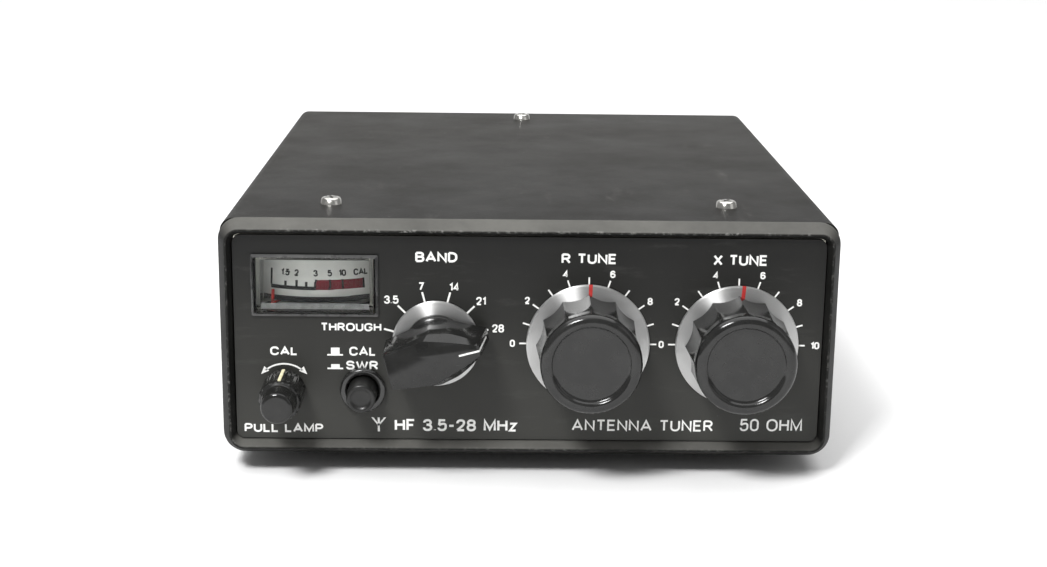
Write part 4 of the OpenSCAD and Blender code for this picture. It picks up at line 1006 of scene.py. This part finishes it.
def push_button(material, ring_material):
    """The round button with its dished face, and the raised ring that guides it."""
    back = local(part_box("swr_button")[1]).y
    profile = [(0.0, -5.95), (1.9, -5.95), (2.5, -6.1), (2.9, -6.5), (3.45, -6.5), (3.88, -6.05), (3.9, -5.0),
               (3.9, 6.6), (1.6, 6.6), (1.6, back), (0.0, back)]
    place(lathe(fillet(profile, 0.3, 4), BUTTON_AXIS, 96), "swr_button_moulding", material,
          "push_button", ("swr_button",))
    ring = [(4.25, 7.0), (4.25, 0.9), (4.6, 0.5), (5.7, 0.5), (6.1, 0.95), (6.1, 2.5), (5.0, 2.5),
            (5.0, 7.0), (4.25, 7.0)]
    bm = lathe(fillet(ring, 0.2, 3), BUTTON_AXIS, 96)
    bmesh.ops.remove_doubles(bm, verts=bm.verts, dist=1e-5)
    place(bm, "swr_button_ring", ring_material, "cabinet", ("swr_button_guide",))


# ---------- carried-over CAD nodes ----------

def dress(finishes):
    """Gives each CAD node that is still shown the finish of its material slot."""
    slots = {part["node"]: part["material_slot"] for part in frame["record"]["subparts"]}
    for node, piece in frame["nodes"].items():
        material = finishes[slots[node]]
        if not piece.material_slots:
            piece.data.materials.append(material)
        for entry in piece.material_slots:
            entry.material = material


def slot_finishes():
    """One finish for each material slot of the record."""
    made = {name: bpy.data.materials[name] for name in (
        "bezel_plastic", "screw_nickel", "meter_clear", "knob_black", "button_black")}
    made["skirt_aluminium"] = bpy.data.materials["skirt_band"]
    made["panel_paint"] = panel_paint()
    made["cabinet_paint"] = cabinet_paint()
    made["scale_card"] = scale_card()
    made["needle_red"] = printed("needle_red", (0.5, 0.02, 0.015), (0.62, 0.03, 0.02))
    made["chassis_steel"] = mottled("chassis_steel", (0.5, 0.48, 0.38), (0.62, 0.61, 0.55), 0.32, 8, 0.02,
                                    0.9, (1, 0.3, 1))
    made["lamp_glass"] = mottled("lamp_glass", (0.86, 0.84, 0.76), (0.93, 0.91, 0.85), 0.1, 2, 0.005,
                                 dirt_and_shade=0.1, Transmission_Weight=0.8)
    made["yoke_iron"] = mottled("yoke_iron", (0.16, 0.16, 0.165), (0.24, 0.24, 0.25), 0.4, 3, 0.05, 0.8)
    for name, dark, light, rough, size_mm, bump_mm, dirt_and_shade in (
            ("foot_rubber", (0.014, 0.014, 0.014), (0.03, 0.03, 0.029), 0.75, 3, 0.05, 0.35),
            ("meter_plastic", (0.58, 0.57, 0.51), (0.68, 0.67, 0.61), 0.42, 5, 0.02, 0.35),
            ("phenolic", (0.22, 0.11, 0.035), (0.33, 0.18, 0.06), 0.45, 2, 0.03, 0.35),
            ("ceramic", (0.7, 0.67, 0.58), (0.8, 0.78, 0.71), 0.25, 4, 0.02, 0.15),
            ("switch_black", (0.022, 0.022, 0.021), (0.04, 0.04, 0.038), 0.42, 4, 0.02, 0.35),
            ("board_green", (0.02, 0.09, 0.03), (0.04, 0.14, 0.05), 0.4, 4, 0.02, 0.35),
            ("ptfe", (0.74, 0.72, 0.66), (0.84, 0.82, 0.77), 0.38, 3, 0.02, 0.2)):
        made[name] = mottled(name, dark, light, rough, size_mm, bump_mm, dirt_and_shade=dirt_and_shade)
    for name, dark, light, rough in (
            ("copper", (0.5, 0.2, 0.09), (0.66, 0.29, 0.14), 0.25),
            ("shaft_steel", (0.42, 0.42, 0.42), (0.56, 0.56, 0.55), 0.28),
            ("plate_aluminium", (0.6, 0.6, 0.59), (0.72, 0.72, 0.71), 0.33),
            ("bush_brass", (0.52, 0.44, 0.26), (0.66, 0.58, 0.38), 0.3),
            ("tinned_wire", (0.58, 0.56, 0.52), (0.7, 0.68, 0.64), 0.3),
            ("socket_nickel", (0.56, 0.55, 0.51), (0.72, 0.71, 0.67), 0.24),
            ("contact_silver", (0.6, 0.52, 0.34), (0.74, 0.66, 0.46), 0.28),
            ("earth_brass", (0.52, 0.38, 0.14), (0.68, 0.52, 0.22), 0.3)):
        made[name] = bright_metal(name, dark, light, rough)
    return made


# ---------- camera, light and floor ----------

def camera():
    """A view from the front and a little above, set from the cabinet's ridge and bottom edge."""
    data = bpy.data.cameras.new("camera")
    data.sensor_width = 36.0
    data.lens = 58.97
    data.clip_start = 0.01
    data.clip_end = 10.0
    seen = link("camera", data)
    pitch, yaw, roll = math.radians(14.223), math.radians(0.984), math.radians(0.732)
    ahead = Vector((math.sin(yaw) * math.cos(pitch), math.cos(yaw) * math.cos(pitch), -math.sin(pitch)))
    right = Vector((math.cos(yaw), -math.sin(yaw), 0))
    up = right.cross(ahead)
    across = math.cos(roll) * right + math.sin(roll) * up
    over = -math.sin(roll) * right + math.cos(roll) * up
    spot = TO_ROW @ Vector((-9.232, -438.03, 159.89))
    turn = Matrix((across, over, -ahead)).transposed().to_4x4()
    seen.matrix_world = Matrix.Translation(spot) @ turn
    bpy.context.scene.camera = seen


def area_light(name, place_at, aim, size, power, colour=(1, 1, 1)):
    data = bpy.data.lights.new(name, "AREA")
    data.shape = "RECTANGLE"
    data.size, data.size_y = size
    data.energy = power
    data.color = colour
    lamp = link(name, data)
    lamp.location = place_at
    lamp.rotation_euler = (Vector(aim) - Vector(place_at)).to_track_quat("-Z", "Y").to_euler()


def studio():
    """A large overhead light, a key from the left, a weak fill, a pale world and a pale floor."""
    world = bpy.data.worlds.new("studio")
    bpy.context.scene.world = world
    world.use_nodes = True
    world.node_tree.nodes["Background"].inputs["Color"].default_value = (1.0, 1.0, 1.0, 1.0)
    world.node_tree.nodes["Background"].inputs["Strength"].default_value = 0.34
    area_light("overhead", (0, 0.5, 2.2), (0, 0.5, 0), (3.2, 3.2), 66.0)
    area_light("key", (-0.28, -0.62, 0.72), (0, 0, 0.03), (0.22, 0.22), 8.5)
    area_light("fill", (0.8, -0.5, 0.45), (0, 0, 0.03), (0.5, 0.5), 0.5)
    bm = bmesh.new()
    size, step = 3.0, 12
    grid = bmesh.ops.create_grid(bm, x_segments=step, y_segments=step, size=size)
    for vert in grid["verts"]:
        back = max(0.0, vert.co.y - 1.6)
        vert.co.z = -0.0002 + back * back * 0.9
    mesh = mesh_from(bm, "floor")
    for polygon in mesh.polygons:
        polygon.use_smooth = True
    mesh.materials.append(floor_paper())
    floor = link("floor", mesh)
    bpy.context.scene.view_settings.view_transform = "Standard"


# ---------- the object ----------

camera()
bezel()
cover_screws()
panel_printing()
meter_window()
meter_window_edge()
meter_printing()
gloss = knob_plastic("knob_black", 0.12, 0.0, 0.42)
satin = knob_plastic("knob_satin", 0.16, 0.0, 0.36)
tuning_knob("r_tune_knob", R_AXIS, "r_tuner", gloss)
tuning_knob("x_tune_knob", X_AXIS, "x_tuner", gloss)
skirt("r_tune_skirt", R_AXIS, SKIRT_R, 8.5, "r_tuner", spun_aluminium("skirt_r", R_AXIS))
skirt("x_tune_skirt", X_AXIS, SKIRT_R, 8.5, "x_tuner", spun_aluminium("skirt_x", X_AXIS))
skirt("band_skirt", BAND_AXIS, 11.7, 7.6, "band_selector", spun_aluminium("skirt_band", BAND_AXIS))
red_line = printed("index_red", (0.38, 0.03, 0.03), (0.5, 0.05, 0.045))
index_line("r_tune_index", R_AXIS, R_TURN, "r_tuner", red_line)
index_line("x_tune_index", X_AXIS, X_TURN, "x_tuner", red_line)
band_knob(satin)
band_pointer(bpy.data.materials["legend_ink"])
level_knob(satin, printed("pointer_cream", (0.66, 0.6, 0.36), (0.8, 0.76, 0.56)))
push_button(knob_plastic("button_black", 0.3, 0.0, 0.35), knob_plastic("button_ring", 0.22, 0.3))
dress(slot_finishes())
studio()
